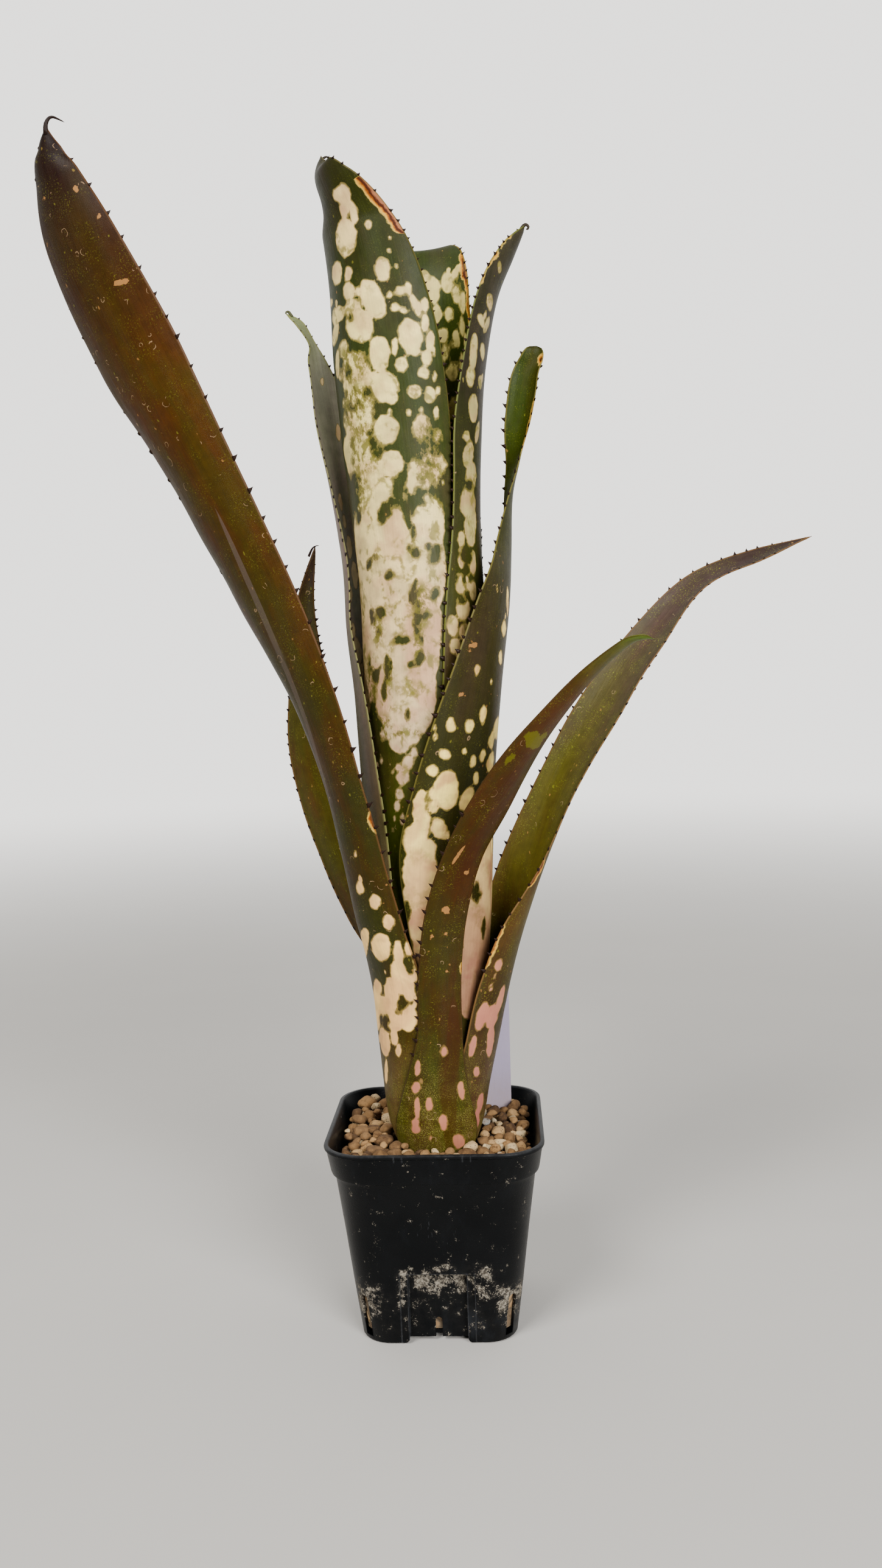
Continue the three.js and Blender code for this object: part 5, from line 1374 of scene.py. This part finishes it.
# Gravel: where the stones may lie, in mm. A layer is (half room, tries, middle radius, spread of
# the radii, highest top, how close the stones lie).
GRAVEL_SEED = 11
LAYERS = [
    (39.4, 1600, 2.4, 0.3, 74.0, 0.86), (40.2, 3800, 3.4, 0.27, 78.2, 0.92),
    (40.2, 3600, 2.0, 0.2, 76.8, 0.86),
]
LEAST_STONE = 1.4
MOST_STONE = 5.4
GRAVEL_LEVEL = 65.5
GRAVEL_CORNER = 17.0
NEST_RADIUS = 18.6
LABEL_PLACE = (24.6, 29)
LABEL_ROOM = (7.8, 0.6)


def has_room(x, y, radius, room):
    """Whether a stone fits in the pot, outside the nest and clear of the label."""
    if abs(x) > room - radius or abs(y) > room - radius:
        return False
    cx = max(abs(x) - (room - GRAVEL_CORNER), 0)
    cy = max(abs(y) - (room - GRAVEL_CORNER), 0)
    if math.hypot(cx, cy) > GRAVEL_CORNER - radius:
        return False
    if math.hypot(x, y) < NEST_RADIUS + 0.72 * radius:
        return False
    return (abs(x - LABEL_PLACE[0]) >= LABEL_ROOM[0] + 0.8 * radius
            or abs(y - LABEL_PLACE[1]) >= LABEL_ROOM[1] + 0.8 * radius)


def stone_shape(rng, ball):
    """A ball stretched, dented, rubbed flat in places and turned."""
    shape = ball * np.array([rng.uniform(1.0, 1.35), rng.uniform(0.8, 1.0),
                             rng.uniform(0.62, 0.85)])
    for _ in range(5):
        axis = unit(rng.normal(size=3))
        wave = np.sin(ball @ axis * rng.uniform(2, 5) + rng.uniform(0, 6.3))
        shape = shape * (1 + 0.07 * wave)[:, None]
    for _ in range(3):
        axis = unit(rng.normal(size=3))
        depth = np.maximum(shape @ axis - rng.uniform(0.6, 0.9), 0)
        shape = shape - depth[:, None] * axis * 0.8
    lean = Matrix.Rotation(rng.uniform(-0.5, 0.5), 3, "X")
    spin = Matrix.Rotation(rng.uniform(0, 6.3), 3, "Z")
    return shape @ np.array(lean @ spin)


def make_stones(material):
    """Separate stones, each let down on those below it, highest behind the plant."""
    rng = np.random.default_rng(GRAVEL_SEED)
    ball, ball_faces = icosphere(3)
    placed, vertices, faces, kinds = [], [], [], []
    tries = [layer for layer in LAYERS for _ in range(layer[1])]
    for room, _, middle, spread, limit, closeness in tries:
        radius = rng.lognormal(math.log(middle), spread)
        radius = float(np.clip(radius, LEAST_STONE, MOST_STONE))
        x, y = rng.uniform(-room, room, 2)
        if not has_room(x, y, radius, room):
            continue
        heap = 4.6 * float(np.clip((y + 14) / 46, 0, 1)) + (0.8 if x < 0 else 0)
        z = GRAVEL_LEVEL + heap + radius * 0.6
        for px, py, pz, pr in placed:
            near = math.hypot(px - x, py - y)
            reach = (pr + radius) * closeness
            if near < reach:
                z = max(z, pz + math.sqrt(reach ** 2 - near ** 2) * 0.8)
        if z + 0.8 * radius > limit + heap:
            continue
        placed.append((x, y, z, radius))
        faces.append(ball_faces + len(vertices) * len(ball))
        vertices.append(stone_shape(rng, ball) * radius + [x, y, z])
        kinds.append(np.tile([*rng.uniform(0, 1, 2), 0], (len(ball), 1)))
    make_piece("gravel_stones", np.vstack(vertices), np.vstack(faces).tolist(), material,
               "gravel", {"stone": np.vstack(kinds)})


def make_gravel_mass(material):
    """The mass under the stones, with room for the pot's panels and for the core."""
    mass = loft_object("gravel_mass", [
        (4.4, 31.2, 11.6), (26, 33.5, 13), (66.6, 38.6, 17), (67.4, 37.8, 16.2),
    ])
    pad = box_outline(17.2, -2, 33)
    cut(mass, [prism_object("pad", pad, -40, -27.9, side * math.pi / 2) for side in range(4)])
    core = [(14.0, 49), (16.6, 62), (18.2, 68)]
    cut(mass, [join_rings("core", [circle(radius, height, 40) for radius, height in core])])
    smooth_by_angle(mass.data, 32)
    mass.data.materials.append(material)
    settle(mass, "gravel")


def circle(radius, height, count):
    angles = [2 * math.pi * k / count for k in range(count)]
    return [(radius * math.cos(angle), radius * math.sin(angle), height) for angle in angles]


LEAF_SEED = 20
LABEL_BEVEL = 0.2


def finish_node(name, material, bevel_width=0.0):
    """A CAD node that is shown as it is, with its own material."""
    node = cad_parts[name]
    node.data.materials.clear()
    node.data.materials.append(material)
    if bevel_width:
        add_bevel(node, bevel_width, 40)


for number, leaf in enumerate(LEAVES):
    make_leaf(leaf, LEAF_SEED + number)
make_pot()
make_stones(stone_material())
make_gravel_mass(soil_material())
finish_node("stem", stem_material())
finish_node("plant_label", label_material(), LABEL_BEVEL * MM)


# --- Studio -----------------------------------------------------------------------------------

# Strength of the light from the room, from the wall, and from the backdrop that the camera sees
ROOM = 0.14
WALL = 1.6
BACKDROP = 2.8
FLOOR_REACH = 3.0
FLOOR_DROP = 0.0002
# The photograph's view: turn, tilt and roll in degrees, place in metres, and sizes in pixels
CAMERA_ANGLES = (-2.572, -4.543, -1.706)
CAMERA_PLACE = (0.03055, -0.54626, 0.27014)
FOCAL_PIXELS = 2150
PHOTO_HEIGHT = 2576
SENSOR = 36.0


def make_floor():
    """A pale floor that fades out well behind the object."""
    mesh = bpy.data.meshes.new("floor")
    corners = [(-1, -1, 0), (1, -1, 0), (1, 1, 0), (-1, 1, 0)]
    corners = [tuple(c * FLOOR_REACH for c in corner) for corner in corners]
    mesh.from_pydata(corners, [], [(0, 1, 2, 3)])
    s = Shader(bpy.data.materials.new("floor_paint"))
    at = s.place()
    tone = s.mix(s.noise(at, 6.0, 4.0), srgb(176, 173, 168), srgb(184, 181, 176))
    paint = s.add("ShaderNodeBsdfPrincipled", {"Base Color": tone, "Roughness": 0.8})
    distance = s.add("ShaderNodeVectorMath", {0: at}, operation="LENGTH").outputs["Value"]
    fade = s.smooth(distance, 0.5, 2.6)
    clear = s.add("ShaderNodeBsdfTransparent")
    blend = s.add("ShaderNodeMixShader", {0: fade, 1: paint.outputs[0], 2: clear.outputs[0]})
    output = s.add("ShaderNodeOutputMaterial")
    s.tree.links.new(blend.outputs[0], output.inputs[0])
    mesh.materials.append(s.owner)
    floor = bpy.data.objects.new("floor", mesh)
    floor.location.z = -FLOOR_DROP
    bpy.context.scene.collection.objects.link(floor)


def make_light(name, place, target, size, power, colour):
    light = bpy.data.lights.new(name, "AREA")
    light.shape = "DISK"
    light.size = size
    light.energy = power
    light.color = colour
    lamp = bpy.data.objects.new(name, light)
    lamp.location = place
    lamp.rotation_mode = "QUATERNION"
    direction = Vector(target) - Vector(place)
    lamp.rotation_quaternion = direction.to_track_quat("-Z", "Y")
    bpy.context.scene.collection.objects.link(lamp)


def make_world():
    """A plain pale backdrop. It lights the object as a white wall behind it and a dim room."""
    world = bpy.data.worlds.new("studio")
    s = Shader(world)
    _, y, _ = s.split(s.add("ShaderNodeTexCoord").outputs["Generated"])
    wall = s.add("ShaderNodeMapRange", {
        "Value": y, "From Min": -0.3, "From Max": 0.6, "To Min": ROOM, "To Max": WALL,
    }, interpolation_type="SMOOTHSTEP").outputs[0]
    light = s.add("ShaderNodeBackground", {0: srgb(228, 227, 224), 1: wall}).outputs[0]
    backdrop = s.add("ShaderNodeBackground", {0: srgb(228, 226, 222), 1: BACKDROP}).outputs[0]
    seen = s.add("ShaderNodeLightPath").outputs["Is Camera Ray"]
    chosen = s.add("ShaderNodeMixShader", {0: seen, 1: light, 2: backdrop}).outputs[0]
    s.add("ShaderNodeOutputWorld", {0: chosen})
    bpy.context.scene.world = world


def make_camera():
    """The view of the photograph, as solved on the pot."""
    yaw, pitch, roll = (math.radians(angle) for angle in CAMERA_ANGLES)
    forward = Vector((math.sin(yaw) * math.cos(pitch), math.cos(yaw) * math.cos(pitch),
                      math.sin(pitch)))
    level = Vector((math.cos(yaw), -math.sin(yaw), 0))
    upright = level.cross(forward)
    right = level * math.cos(roll) + upright * math.sin(roll)
    up = upright * math.cos(roll) - level * math.sin(roll)
    data = bpy.data.cameras.new("camera")
    data.sensor_width = SENSOR
    data.lens = FOCAL_PIXELS / PHOTO_HEIGHT * SENSOR
    data.clip_start = 0.01
    data.clip_end = 100.0
    camera = bpy.data.objects.new("camera", data)
    turn = Matrix((right, up, -forward)).transposed().to_4x4()
    camera.matrix_world = Matrix.Translation(Vector(CAMERA_PLACE)) @ turn
    bpy.context.scene.collection.objects.link(camera)
    bpy.context.scene.camera = camera


make_floor()
make_world()
make_light("key", (-1.1, -1.7, 2.1), (0, 0, 0.22), 1.3, 92, (1.0, 0.985, 0.96))
make_light("fill", (1.2, -2.2, 1.1), (0, 0, 0.2), 1.5, 136, (1.0, 0.995, 0.99))
make_camera()
